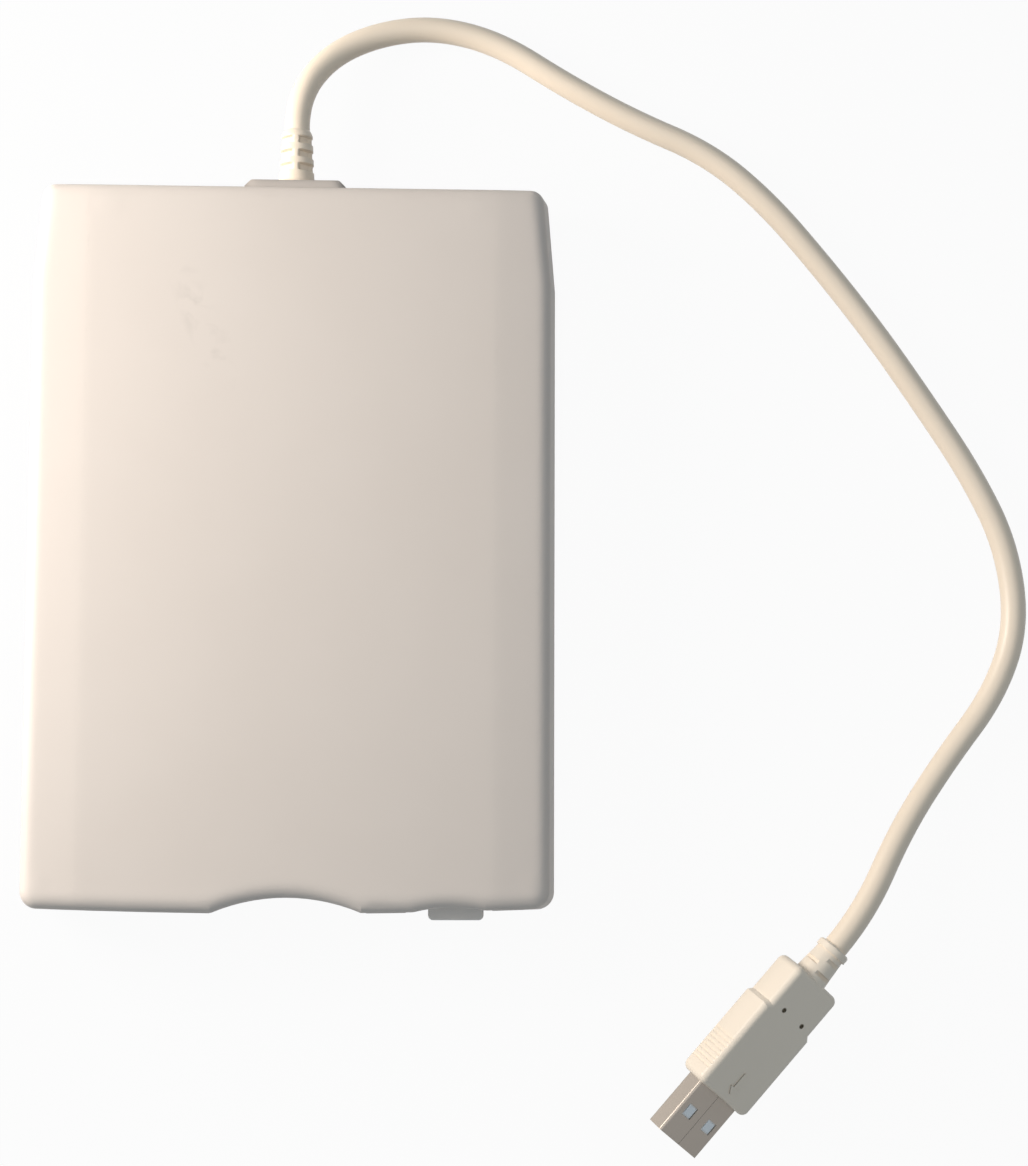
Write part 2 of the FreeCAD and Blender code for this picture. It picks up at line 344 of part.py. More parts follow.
# Places worked out from the sizes: (name, formula, what it is).
PLACES = [
    ("half_width", "case_width / 2", "outside of the case at the parting line"),
    ("front", "-case_length / 2", "peak of the bow"),
    ("rear", "case_length / 2", "rear wall"),
    ("corner_front", "front + bow", "front corners before they are rounded"),
    ("rear_half_width", "half_width - rear_taper", "case at its rear wall"),
    ("taper_start", "rear - rear_taper_length", "where the sides start to narrow"),
    ("roof", "case_top - roof_wall", "underside of the lid"),
    ("floor", "foot_height + floor_wall", "upper side of the case floor"),
    ("inner_half", "half_width - side_wall", "inside of the side walls"),
    ("inner_rear_half", "rear_half_width - rear_wall", "inside of the side walls at the rear"),
    ("inner_front", "front + front_wall", "inside of the front wall"),
    ("inner_rear", "rear - rear_wall", "inside of the rear wall"),
    ("pad_rear", "rear + rear_pad_proud", "face of the rear pad"),
    ("button_front", "front - button_proud", "face of the eject button"),
    ("case_screw_y", "inner_rear - case_post_radius + fit_gap", "case screws"),
    ("flap_front", "inner_front + flap_gap", "front face of the flap"),
    ("flap_back", "flap_front + flap_thickness", "rear face of the flap"),
    ("flap_y", "flap_front + flap_thickness / 2", "axis of the flap's pivot"),
    ("flap_half", "slot_width / 2 - flap_side_gap", "ends of the flap"),
    ("frame_half", "inner_half - frame_side_gap", "outside of the frame"),
    ("frame_bottom", "floor + frame_seat", "underside of the frame"),
    ("frame_floor", "frame_bottom + frame_sheet", "upper side of the frame's floor"),
    ("frame_rear", "inner_rear - rear_room", "rear face of the frame"),
    ("frame_inner", "frame_half - frame_sheet", "inside of the frame's side walls"),
    ("cover_top", "cover_bottom + cover_sheet", "top of the cover"),
    ("carrier_inner", "disk_width / 2 + disk_side_gap", "inside of the carrier's sides"),
    ("carrier_outer", "carrier_inner + carrier_sheet", "outside of the carrier's sides"),
    ("carrier_floor", "disk_raised - carrier_top_gap", "upper side of the carrier's lips"),
    ("carrier_bottom", "carrier_floor - carrier_sheet", "underside of the lips"),
    ("carrier_roof", "disk_raised + disk_thickness + carrier_top_gap", "underside of its plate"),
    ("carrier_top", "carrier_roof + carrier_sheet", "top of its plate"),
    ("cam_slot_radius", "cam_pin_radius + cam_gap", "slots that the pins run in"),
    ("slide_outer", "frame_inner - slide_side_gap", "outside of the slide plate"),
    ("slide_inner", "slide_outer - slide_sheet", "inside of the slide plate's sides"),
    ("slide_top", "slide_bottom + slide_sheet", "top of the slide plate"),
    ("slide_tab_rear", "slide_tab_front + slide_sheet", "rear face of the button's tab"),
    ("latch_bottom", "carrier_top + latch_gap", "underside of the latch"),
    ("latch_top", "latch_bottom + latch_sheet", "top of the latch"),
    ("board_bottom", "frame_floor", "underside of the motor board"),
    ("board_top", "frame_floor + board_sheet", "top of the motor board"),
    ("magnet_radius", "rotor_radius + magnet_thickness", "outside of the ring magnet"),
    ("stator_bore", "magnet_radius + stator_gap", "bore of the stator"),
    ("chuck_top", "rotor_top + chuck_thickness", "face that the disk's hub sits on"),
    ("arm_top", "arm_bottom + arm_thickness", "top of the arm"),
    ("arm_nose", "head_y - carriage_front", "front end of the arm"),
    ("pcb_bottom", "frame_floor + pcb_lift", "underside of the boards"),
    ("pcb_top", "pcb_bottom + pcb_sheet", "top of the boards"),
    ("relief_front", "inner_rear - fit_gap - relief_flange", "inner end of the strain relief"),
    ("relief_base", "pad_rear + fit_gap", "where the relief's boot starts"),
    ("mould_rear", "shell_length + mould_length", "rear face of the moulding, from the tip"),
    ("plug_end", "mould_rear + plug_relief_length", "rear end of the plug, from the tip"),
    ("shoulder_start", "half_width - shoulder_width", "where the lid starts to fall away, from the middle"),
    ("button_scoop_x", "button_x - button_scoop_offset", "centre of the scoop round the button"),
    ("case_screw_x", "half_width - case_screw_from_side", "case screws from the middle"),
    ("foot_x", "half_width - foot_inset", "feet from the middle"),
    ("foot_y", "rear - foot_end_inset", "feet from the middle"),
    ("button_x", "half_width - button_from_side", "centre of the eject button"),
    ("lens_x", "lens_from_side - half_width", "centre of the lamp window"),
    ("lens_end", "sensor_board_front - lens_gap", "rear end of the light pipe"),
    ("flap_bottom", "parting + flap_lap", "lower edge of the flap above the table"),
    ("flap_axis", "roof - flap_axis_drop", "flap pivot above the table"),
    ("frame_front", "-(inner_front + flap_room)", "front edge of the frame before the origin"),
    ("frame_side_top", "cam_pin_height + cam_slot_radius + frame_slot_margin",
     "top of the frame's side walls"),
    ("frame_screw_x", "frame_half - frame_screw_inset", "frame screws from the middle"),
    ("frame_screw_front", "hub_y - frame_screw_ahead", "front pair of frame screws"),
    ("frame_screw_rear", "hub_y + frame_screw_behind", "rear pair of frame screws"),
    ("cover_bottom", "slide_top + cover_lift", "underside of the mechanism's cover"),
    ("cover_skirt_bottom", "cover_top - cover_skirt", "lower edge of the cover's skirts"),
    ("cover_front", "cover_inset - frame_front", "front edge of the cover"),
    ("head_window_front", "head_y - head_window_ahead", "front edge of the window in the cover"),
    ("disk_raised", "chuck_top + disk_drop", "underside of the disk as it passes the slot"),
    ("hub_y", "hub_from_frame - frame_front", "spindle"),
    ("carrier_front", "carrier_inset - frame_front", "front edge of the carrier"),
    ("carrier_side_rear", "cam_pin_rear + carrier_side_tail", "rear end of the carrier's sides"),
    ("carrier_rear", "arm_ear_y + carrier_ear_margin", "rear edge of the carrier's plate"),
    ("head_slot_front", "head_y - head_stroke - head_slot_margin",
     "front end of the carrier's slot for the head arm"),
    ("post_slot_front", "head_y + head_slot_margin", "where that slot widens for the arm's posts"),
    ("cam_pin_front", "hub_y - cam_pin_ahead", "front pins"),
    ("cam_pin_rear", "hub_y + cam_pin_behind", "rear pins"),
    ("cam_pin_height", "carrier_bottom + cam_pin_lift", "pins with the carrier raised"),
    ("slide_bottom", "carrier_top + slide_lift", "underside of the slide plate"),
    ("slide_side_bottom", "cam_pin_height - disk_drop - cam_slot_radius - slide_slot_margin",
     "lower edge of the slide plate's sides"),
    ("slide_front", "slide_inset - frame_front", "front edge of the slide plate at rest"),
    ("slide_bar_rear", "slide_front + slide_bar", "rear edge of the slide plate's cross bar"),
    ("slide_side_rear", "cam_pin_rear + slide_side_tail", "rear end of the slide plate's sides"),
    ("slide_rear", "frame_rear - slide_rear_gap", "rear end of the slide plate's side strips"),
    ("slide_strip_inner", "slide_outer - slide_strip",
     "inner edge of the slide plate's strips, from the middle"),
    ("slide_tab_bottom", "button_bottom + tab_rise", "lower edge of the tab that pushes the button"),
    ("slide_tab_top", "button_bottom + button_height + tab_over", "upper edge of that tab"),
    ("slide_tab_front", "-frame_front - tab_reach", "front face of that tab at rest"),
    ("spring_x", "frame_inner - spring_inset", "slide springs from the middle"),
    ("spring_height", "slide_top - spring_drop", "slide springs above the table"),
    ("spring_front", "slide_rear - spring_length", "front anchor of the slide springs"),
    ("latch_y", "hub_y + latch_behind_hub", "pivot of the shutter latch"),
    ("board_front", "sensor_board_rear + board_gap", "front edge of the motor board"),
    ("board_rear", "guide_front + board_under_clip", "rear edge of the motor board"),
    ("bearing_top", "rotor_top - rotor_sheet - bearing_clear", "top of the spindle bearing"),
    ("spindle_bottom", "frame_bottom + spindle_lift", "foot of the shaft"),
    ("spindle_top", "chuck_top + spindle_proud", "tip of the shaft"),
    ("rotor_top", "rotor_bottom + rotor_height", "top of the rotor cup"),
    ("rotor_bottom", "board_top + rotor_clear", "lower edge of the rotor cup"),
    ("stator_bottom", "board_top + stator_lift", "underside of the laminations"),
    ("head_y", "hub_y + head_from_hub", "heads at the outermost track"),
    ("carriage_bottom", "frame_floor + carriage_lift", "underside of the head carriage"),
    ("carriage_deck", "carriage_bottom + carriage_thickness", "top of the carriage's low arm"),
    ("carriage_rear", "screw_rear + screw_mount_inset", "rear end of the carriage"),
    ("carriage_block_front", "carriage_rear - carriage_block_length",
     "front face of the carriage's rear block"),
    ("carriage_block_top", "arm_pivot_z - block_drop", "top of that block"),
    ("lower_head_top", "chuck_top + lower_head_reach", "gap side of the lower head"),
    ("upper_head_bottom", "arm_bottom - upper_head_height", "gap side of the upper head when it is raised"),
    ("arm_pivot_y", "carriage_rear - carriage_tail", "pivot of the upper head arm"),
    ("arm_pivot_z", "arm_bottom - pivot_drop", "pivot of the upper head arm"),
    ("arm_bottom", "carrier_top + arm_lift", "underside of the raised arm"),
    ("arm_ear_y", "arm_pivot_y - arm_ear_ahead", "ears that the carrier lifts the arm by"),
    ("guide_height", "frame_floor + guide_lift", "guide rod above the table"),
    ("guide_front", "head_y - guide_ahead", "front end of the rod"),
    ("guide_rear", "carriage_rear + guide_tail", "rear end of the rod"),
    ("screw_height", "frame_floor + stepper_radius + stepper_lift", "lead screw above the table"),
    ("screw_front", "head_y + screw_behind_head", "front bearing plate of the lead screw"),
    ("screw_rear", "frame_rear - frame_sheet - stepper_gap - stepper_length - screw_plate",
     "mounting face of the stepper motor"),
    ("follower_y", "carriage_rear - follower_inset", "follower at the outermost track"),
    ("pcb_front", "pcb_rear - pcb_length", "front edge of the two boards"),
    ("pcb_rear", "frame_rear - pcb_rear_gap", "rear edge of the two boards"),
    ("main_board_inner", "main_board_width - pcb_outer", "inner edge of the main board"),
    ("cord_board_inner", "pcb_outer - cord_board_width", "inner edge of the cord board"),
    ("pcb_outer", "frame_inner - pcb_inset", "outer edge of the two boards"),
    ("sensor_board_half", "sensor_x + sensor_board_margin", "sensor board from the middle"),
    ("sensor_board_front", "sensor_board_inset - frame_front", "front edge of the sensor board"),
    ("sensor_board_rear", "sensor_board_front + sensor_board_length", "rear edge of the sensor board"),
    ("sensor_x", "disk_width / 2 - sensor_inset", "disk sensors from the middle"),
    ("sensor_y", "sensor_board_front + sensor_from_front", "disk sensors"),
    ("plunger_top", "board_top + sensor_height + plunger_proud", "tips of the plungers"),
]

# Free points of the cord's centre line, from the strain relief to the plug.
CORD_ROUTE = [
    (6.0, 101.0, 6.3),
    (16.0, 106.5, 4.5),
    (28.0, 108.5, 3.2),
    (41.0, 105.5, 2.5),
    (54.5, 97.0, 2.5),
    (68.5, 89.5, 2.5),
    (84.0, 83.0, 2.5),
    (96.0, 73.0, 2.5),
    (107.5, 59.5, 2.5),
    (118.0, 46.0, 2.5),
    (128.0, 31.5, 2.5),
    (137.5, 17.0, 2.5),
    (144.5, 2.5, 2.5),
    (146.5, -14.0, 2.5),
    (141.5, -28.0, 2.5),
    (131.5, -41.0, 2.5),
    (122.0, -55.0, 3.8),
]

doc = FreeCAD.newDocument("floppy_drive")
SIZE_NAMES = {row[0] for row in SIZES}
PLACE_NAMES = {row[0] for row in PLACES}
nodes = {}


def formula(text):
    """A formula with every size and place name pointed at its sheet."""

    def point(match):
        word = match.group(0)
        if word in SIZE_NAMES:
            return "Sizes." + word
        if word in PLACE_NAMES:
            return "Places." + word
        return word

    return re.sub(r"[a-z][a-z_0-9]*", point, str(text))


def fill_sheets():
    """Write the driving sizes and the places worked out from them."""
    sizes = doc.addObject("Spreadsheet::Sheet", "Sizes")
    for row, (name, value, meaning) in enumerate(SIZES, start=1):
        sizes.set(f"A{row}", meaning)
        sizes.set(f"B{row}", str(value))
        sizes.setAlias(f"B{row}", name)
    doc.recompute()
    places = doc.addObject("Spreadsheet::Sheet", "Places")
    for row, (name, text, meaning) in enumerate(PLACES, start=1):
        places.set(f"A{row}", meaning)
        places.setAlias(f"B{row}", name)
    for row, (name, text, meaning) in enumerate(PLACES, start=1):
        places.set(f"B{row}", "=" + formula(text).replace("Places.", ""))
    doc.recompute()
    return sizes, places


sizes, places = fill_sheets()
spare = doc.addObject("Spreadsheet::Sheet", "Spare")


def number(text):
    """The value of a formula, worked out in a spare sheet."""
    spare.set("A1", "=" + formula(text))
    spare.recompute()
    return float(spare.get("A1"))


def bind(thing, **properties):
    """Bind properties of a document object to formulas; x, y and z bind its position."""
    for name, text in properties.items():
        path = "Placement.Base." + name if name in ("x", "y", "z") else name
        thing.setExpression(path, formula(text))


def minus(text):
    return f"-({text})"


# Solids from Part primitives

TURN_TO = {
    "x": Rotation(Vector(0, 1, 0), 90),
    "y": Rotation(Vector(1, 0, 0), -90),
    "z": Rotation(),
}


def box(low, high):
    """A block between two corners, each given by three formulas."""
    block = doc.addObject("Part::Box", "block")
    bind(
        block,
        Length=f"({high[0]}) - ({low[0]})",
        Width=f"({high[1]}) - ({low[1]})",
        Height=f"({high[2]}) - ({low[2]})",
        x=low[0],
        y=low[1],
        z=low[2],
    )
    return block


def cylinder(axis, start, radius, length):
    """A round bar along an axis, from the centre of its first end."""
    bar = doc.addObject("Part::Cylinder", "bar")
    bar.Placement = Placement(Vector(), TURN_TO[axis])
    bind(bar, Radius=radius, Height=length, x=start[0], y=start[1], z=start[2])
    return bar


def fuse(*shapes):
    """Several solids joined into one."""
    if len(shapes) == 1:
        return shapes[0]
    joined = doc.addObject("Part::MultiFuse", "joined")
    joined.Shapes = list(shapes)
    joined.Refine = True
    return joined


def cut(base, *tools):
    """A solid with others taken away."""
    left = doc.addObject("Part::Cut", "left")
    left.Base = base
    left.Tool = fuse(*tools)
    left.Refine = True
    return left


def group(*shapes):
    """Separate solids that make one node."""
    compound = doc.addObject("Part::Compound", "group")
    compound.Links = list(shapes)
    return compound


def node(thing, label):
    """Name a finished sub-part."""
    thing.Label = label
    nodes[label] = thing
    return thing


# Solids from sketches


def new_body(label):
    body = doc.addObject("PartDesign::Body", "Body")
    return node(body, label)


def polygon(*points):
    return ("polygon", points)


def circle(x, y, radius):
    return ("circle", (x, y, radius))


def obround(start, end, radius):
    return ("obround", (start, end, radius))


def fix_point(sketch, geometry, place, x, y):
    """Fix one point of a sketch at two formulas."""
    for kind, text in (("DistanceX", x), ("DistanceY", y)):
        index = sketch.addConstraint(Sketcher.Constraint(kind, geometry, place, number(text)))
        sketch.setExpression(f"Constraints[{index}]", formula(text))


def fix_radius(sketch, geometry, text):
    index = sketch.addConstraint(Sketcher.Constraint("Radius", geometry, number(text)))
    sketch.setExpression(f"Constraints[{index}]", formula(text))


def arc_through(start, middle, end):
    """The arc through three points, always drawn anticlockwise, as a sketch keeps it."""
    centre = Part.Arc(start, middle, end).toShape().Curve.Center
    if (middle - start).cross(end - middle).z < 0:
        start, end = end, start
    ring = Part.Circle(centre, Vector(0, 0, 1), centre.distanceToPoint(start))
    angles = [math.atan2(spot.y - centre.y, spot.x - centre.x) for spot in (start, end)]
    return Part.ArcOfCircle(ring, *angles)


def draw_polygon(sketch, points):
    """Straight edges, and arcs where a point is ("arc", sagitta) between its neighbours."""
    corners = [p for p in points if p[0] != "arc"]
    spots = [Vector(number(x), number(y), 0) for x, y in corners]
    count = len(corners)
    first = sketch.GeometryCount
    arcs = {}
    for i, point in enumerate(points):
        if point[0] == "arc":
            arcs[len([p for p in points[:i] if p[0] != "arc"]) - 1] = point[1]
    for i in range(count):
        start = spots[i]
        end = spots[(i + 1) % count]
        if i in arcs:
            chord = end - start
            away = Vector(chord.y, -chord.x, 0).normalize()
            middle = (start + end) * 0.5 + away * number(arcs[i])
            sketch.addGeometry(arc_through(start, middle, end), False)
        else:
            sketch.addGeometry(Part.LineSegment(start, end), False)
    starts = [end_of(sketch, first + i, spots[i]) for i in range(count)]
    for i in range(count):
        after = (i + 1) % count
        joint = Sketcher.Constraint("Coincident", first + i, 3 - starts[i], first + after, starts[after])
        sketch.addConstraint(joint)
    for i, (x, y) in enumerate(corners):
        fix_point(sketch, first + i, starts[i], x, y)
    for i, sagitta in arcs.items():
        x0, y0 = corners[i]
        x1, y1 = corners[(i + 1) % count]
        chord = f"((({x1}) - ({x0}))^2 + (({y1}) - ({y0}))^2)"
        fix_radius(sketch, first + i, f"({chord} / 4 + ({sagitta})^2) / (2 * abs({sagitta}))")


def end_of(sketch, geometry, spot):
    """1 or 2: the end of a sketch line or arc that lies at a spot."""
    shape = sketch.Geometry[geometry]
    near_start = shape.StartPoint.distanceToPoint(spot)
    near_end = shape.EndPoint.distanceToPoint(spot)
    return 1 if near_start < near_end else 2


def draw_circle(sketch, x, y, radius):
    centre = Vector(number(x), number(y), 0)
    ring = Part.Circle(centre, Vector(0, 0, 1), number(radius))
    index = sketch.addGeometry(ring, False)
    fix_point(sketch, index, 3, x, y)
    fix_radius(sketch, index, radius)


def draw_obround(sketch, start, end, radius):
    """A slot with round ends about two centres."""
    a = Vector(number(start[0]), number(start[1]), 0)
    b = Vector(number(end[0]), number(end[1]), 0)
    size = number(radius)
    along = (b - a).normalize()
    side = Vector(-along.y, along.x, 0) * size
    tip = along * size
    rounds = [arc_through(a + side, a - tip, a - side), arc_through(b - side, b + tip, b + side)]
    lines = [Part.LineSegment(a - side, b - side), Part.LineSegment(b + side, a + side)]
    order = [rounds[0], lines[0], rounds[1], lines[1]]
    corners = [a + side, a - side, b - side, b + side]
    first = sketch.GeometryCount
    for shape in order:
        sketch.addGeometry(shape, False)
    starts = [end_of(sketch, first + i, corners[i]) for i in range(4)]
    for i in range(4):
        after = (i + 1) % 4
        joint = Sketcher.Constraint("Tangent", first + i, 3 - starts[i], first + after, starts[after])
        sketch.addConstraint(joint)
    for offset, centre in ((0, start), (2, end)):
        fix_point(sketch, first + offset, 3, centre[0], centre[1])
        fix_radius(sketch, first + offset, radius)


def sketch_on(body, plane, height, *loops):
    """A sketch on one of the body's origin planes, shifted along its normal by a formula."""
    planes = {feature.Role: feature for feature in body.Origin.OriginFeatures}
    sketch = body.newObject("Sketcher::SketchObject", "Outline")
    sketch.AttachmentSupport = [(planes[plane + "_Plane"], "")]
    sketch.MapMode = "FlatFace"
    sketch.setExpression("AttachmentOffset.Base.z", formula(height))
    doc.recompute()
    for kind, details in loops:
        if kind == "polygon":
            draw_polygon(sketch, details)
        elif kind == "circle":
            draw_circle(sketch, *details)
        else:
            draw_obround(sketch, *details)
    return sketch


def pad(body, sketch, length, down=False):
    feature = body.newObject("PartDesign::Pad", "Pad")
    feature.Profile = sketch
    feature.Reversed = down
    bind(feature, Length=length)
    body.Tip = feature
    return feature


def pocket(body, sketch, length, up=False):
    """A cut below the sketch, or above it when up is set; it must take material away."""
    doc.recompute()
    before = body.Shape.Volume
    feature = body.newObject("PartDesign::Pocket", "Pocket")
    feature.Profile = sketch
    feature.Reversed = up
    bind(feature, Length=length)
    body.Tip = feature
    doc.recompute()
    if not feature.Shape.Volume < before - 1e-6:
        raise ValueError(f"a pocket of {body.Label} cuts nothing")
    return feature


def dress(body, kind, **settings):
    """A fillet, chamfer or draft on the edges or faces that choose() picks."""
    doc.recompute()
    choose = settings.pop("choose")
    base = body.Tip
    family = "Face" if kind == "Draft" else "Edge"
    parts = base.Shape.Faces if kind == "Draft" else base.Shape.Edges
    picked = [f"{family}{i + 1}" for i, part in enumerate(parts) if choose(part)]
    if not picked:
        sys.exit(f"{kind} of {body.Label} finds no {family.lower()}")
    feature = body.newObject("PartDesign::" + kind, kind)
    feature.Base = (base, picked)
    plane = settings.pop("plane", None)
    if plane is not None:
        faces = [f"Face{i + 1}" for i, face in enumerate(base.Shape.Faces) if plane(face)]
        feature.NeutralPlane = (base, faces[:1])
        feature.Reversed = settings.pop("reversed", False)
    bind(feature, **settings)
    body.Tip = feature
    return feature


def near(a, b, tolerance=0.02):
    return abs(a - b) < tolerance


def upright(edge):
    bounds = edge.BoundBox
    sideways = max(bounds.XLength, bounds.YLength)
    return bounds.ZLength > 1 and sideways < 0.4 * bounds.ZLength


# Case


def case_outline():
    """The case in plan before its corners are rounded: bowed front, narrowed rear."""
    return polygon(
        (minus("half_width"), "corner_front"),
        ("arc", "bow"),
        ("half_width", "corner_front"),
        ("half_width", "taper_start"),
        ("rear_half_width", "rear"),
        (minus("rear_half_width"), "rear"),
        (minus("half_width"), "taper_start"),
    )


def hollow_outline():
    """The hollow between the walls in plan."""
    return polygon(
        (minus("inner_half"), "inner_front"),
        ("inner_half", "inner_front"),
        ("inner_half", "taper_start"),
        ("inner_rear_half", "inner_rear"),
        (minus("inner_rear_half"), "inner_rear"),
        (minus("inner_half"), "taper_start"),
    )


def scoop_radius(width, depth):
    return f"((({width}) / 2)^2 + ({depth})^2) / (2 * ({depth}))"


def cut_scoop(body, middle, width, depth, rim, edge, outward):
    """A round bite out of the front wall, turned about its own upright axis.

    The profile's outer side follows the wall and flares with the edge radius at the rim.
    """
    radius = scoop_radius(width, depth)
    wall_end = f"({rim}) - ({outward}) * ({edge})"
    beyond = f"({rim}) + ({outward}) * 2"
    start = f"parting - ({outward}) * 2"
    flare = f"(-1) * ({outward}) * ({edge}) * (1 - sqrt(0.5))"
    profile = polygon(
        ("0", start),
        (radius, start),
        (radius, wall_end),
        ("arc", flare),
        (f"({radius}) + ({edge})", rim),
        (f"({radius}) + ({edge})", beyond),
        ("0", beyond),
    )
    sketch = sketch_on(body, "YZ", middle, profile)
    sketch.setExpression("AttachmentOffset.Base.x", formula(f"front + ({depth}) - ({radius})"))
    groove = body.newObject("PartDesign::Groove", "Groove")
    groove.Profile = sketch
    groove.ReferenceAxis = (sketch, ["V_Axis"])
    groove.Angle = 360
    body.Tip = groove
    doc.recompute()


def cut_scoops(body, rim, edge, outward):
    """The finger scoop and the scoop round the eject button."""
    cut_scoop(body, "0", "finger_scoop_width", "finger_scoop_depth", rim, edge, outward)
    cut_scoop(body, "button_scoop_x", "button_scoop_width", "button_scoop_depth", rim, edge, outward)


def rear_pad_outline():
    """The raised pad round the cord's exit in plan, with sides at 45 degrees."""
    foot = "rear_pad_width / 2"
    face = "rear_pad_width / 2 - rear_pad_proud"
    return polygon(
        (minus(foot), "rear - 1"),
        (foot, "rear - 1"),
        (foot, "rear"),
        (face, "pad_rear"),
        (minus(face), "pad_rear"),
        (minus(foot), "rear"),
    )


def round_pad(body):
    """Round the upright corners of the pad's face."""

    def pad_corner(edge):
        return upright(edge) and near(edge.CenterOfMass.y, number("pad_rear"))

    dress(body, "Fillet", choose=pad_corner, Radius="rear_pad_corner")


def lean_walls(body, side_angle, end_angle, down):
    """Draft the side walls and the end walls away from the parting line."""

    def side(face):
        return face.normalAt(0.5, 0.5).z < 0.1 and abs(face.CenterOfMass.x) > 0.9 * number("rear_half_width")

    def end(face):
        return abs(face.CenterOfMass.y) > 0.95 * number("rear") and abs(face.CenterOfMass.x) < 1

    def parting_face(face):
        return near(face.BoundBox.ZMin, number("parting")) and near(face.BoundBox.ZLength, 0)

    dress(body, "Draft", choose=side, plane=parting_face, reversed=down, Angle=side_angle)
    dress(body, "Draft", choose=end, plane=parting_face, reversed=down, Angle=end_angle)


def round_corners(body):
    """Round the four upright corners of the case."""

    def at_side(edge):
        return upright(edge) and abs(edge.CenterOfMass.x) > 0.87 * number("half_width")

    def front_corner(edge):
        return edge.CenterOfMass.y < 0.9 * number("front") and at_side(edge)

    def rear_corner(edge):
        return edge.CenterOfMass.y > 0.95 * number("rear") and at_side(edge)

    dress(body, "Fillet", choose=front_corner, Radius="front_corner")
    dress(body, "Fillet", choose=rear_corner, Radius="rear_corner")


def round_top(body):
    """Round the whole top edge, scoops included, but not the creases of the lid."""

    def top_edge(edge):
        bounds = edge.BoundBox
        crease = near(abs(bounds.XMin), number("shoulder_start")) and bounds.YLength > 50
        return bounds.ZMin > number("case_top - 1") and not crease

    dress(body, "Fillet", choose=top_edge, Radius="top_edge")


def mirrored(points):
    """The same outline on the other side of the middle plane."""
    return [(minus(x), y) for x, y in points]


def rectangle(low, high):
    return polygon((low[0], low[1]), (high[0], low[1]), (high[0], high[1]), (low[0], high[1]))


def top_case():
    """Lid shell: drafted walls, sloping shoulders, scoops, disk slot, ears for the flap."""
    body = new_body("top_case")
    pad(body, sketch_on(body, "XY", "parting", case_outline()), "case_top - parting")
    lean_walls(body, "side_draft", "end_draft", False)
    round_corners(body)
    fall = "case_top - shoulder_drop"
    wedge = [("shoulder_start", "case_top"), ("half_width", fall), ("half_width", "case_top + 1")]
    for corners in (wedge, mirrored(wedge)):
        pocket(body, sketch_on(body, "XZ", "case_length", polygon(*corners)), "2 * case_length")
    round_top(body)
    cut_scoops(body, "case_top", "top_edge", 1)
    pad(body, sketch_on(body, "XY", "parting", rear_pad_outline()), "rear_pad_half_height")
    round_pad(body)
    pocket(body, sketch_on(body, "XY", "parting", hollow_outline()), "roof - parting", up=True)
    slot = rectangle((minus("slot_width / 2"), "parting - 1"), ("slot_width / 2", "parting + slot_height"))
    pocket(body, sketch_on(body, "XZ", "10 - front", slot), "front_wall + 10.5")
    add_lips(body)
    add_flap_ears(body)
    posts = [circle(x, "case_screw_y", "case_post_radius") for x in ("case_screw_x", minus("case_screw_x"))]
    pad(body, sketch_on(body, "XY", "roof", *posts), "roof - parting", down=True)
    bores = [
        circle(x, "case_screw_y", "case_screw_radius + pivot_gap")
        for x in ("case_screw_x", minus("case_screw_x"))
    ]
    pocket(body, sketch_on(body, "XY", "parting", *bores), "roof - parting - 1.5", up=True)
    cut_gland(body)
    return body


def add_lips(body):
    """Lips of the lid that locate it inside the side walls of the lower shell."""
    outer = "inner_half - fit_gap"
    inner = "inner_half - fit_gap - lip_thickness"
    for low, high, x in (
        ("parting - lip_height", "parting", outer),
        ("parting", "cover_skirt_bottom - fit_gap", "inner_half + 0.1"),
    ):
        lips = [
            polygon((inner, "-lip_reach"), (x, "-lip_reach"), (x, "lip_reach"), (inner, "lip_reach")),
            polygon(
                *mirrored([(inner, "-lip_reach"), (x, "-lip_reach"), (x, "lip_reach"), (inner, "lip_reach")]),
            ),
        ]
        pad(body, sketch_on(body, "XY", low, *lips), f"({high}) - ({low})")


def add_flap_ears(body):
    """Ears under the roof, beside the slot, that carry the pins of the flap."""
    start = "slot_width / 2"
    end = "slot_width / 2 + flap_ear"
    ear = [
        (start, "inner_front - 0.5"),
        (end, "inner_front - 0.5"),
        (end, "flap_y + flap_ear"),
        (start, "flap_y + flap_ear"),
    ]
    sketch = sketch_on(body, "XY", "roof", polygon(*ear), polygon(*mirrored(ear)))
    pad(body, sketch, "roof - flap_axis + flap_ear", down=True)
    for side, up in (("-1", True), ("1", False)):
        plane = f"({side}) * (slot_width / 2 - 1)"
        hole = circle("flap_y", "flap_axis", "flap_pin_radius + pivot_gap")
        sketch = sketch_on(body, "YZ", plane, hole)
        pocket(body, sketch, "flap_pin_length + 1 - flap_side_gap + fit_gap", up=not up)


def cut_gland(body):
    """The round way through the rear wall and pad for the neck of the strain relief."""
    hole = circle("0", "parting", "relief_hole_radius + fit_gap")
    pocket(body, sketch_on(body, "XZ", "-(inner_rear - 1)", hole), "rear_wall + rear_pad_proud + 2")


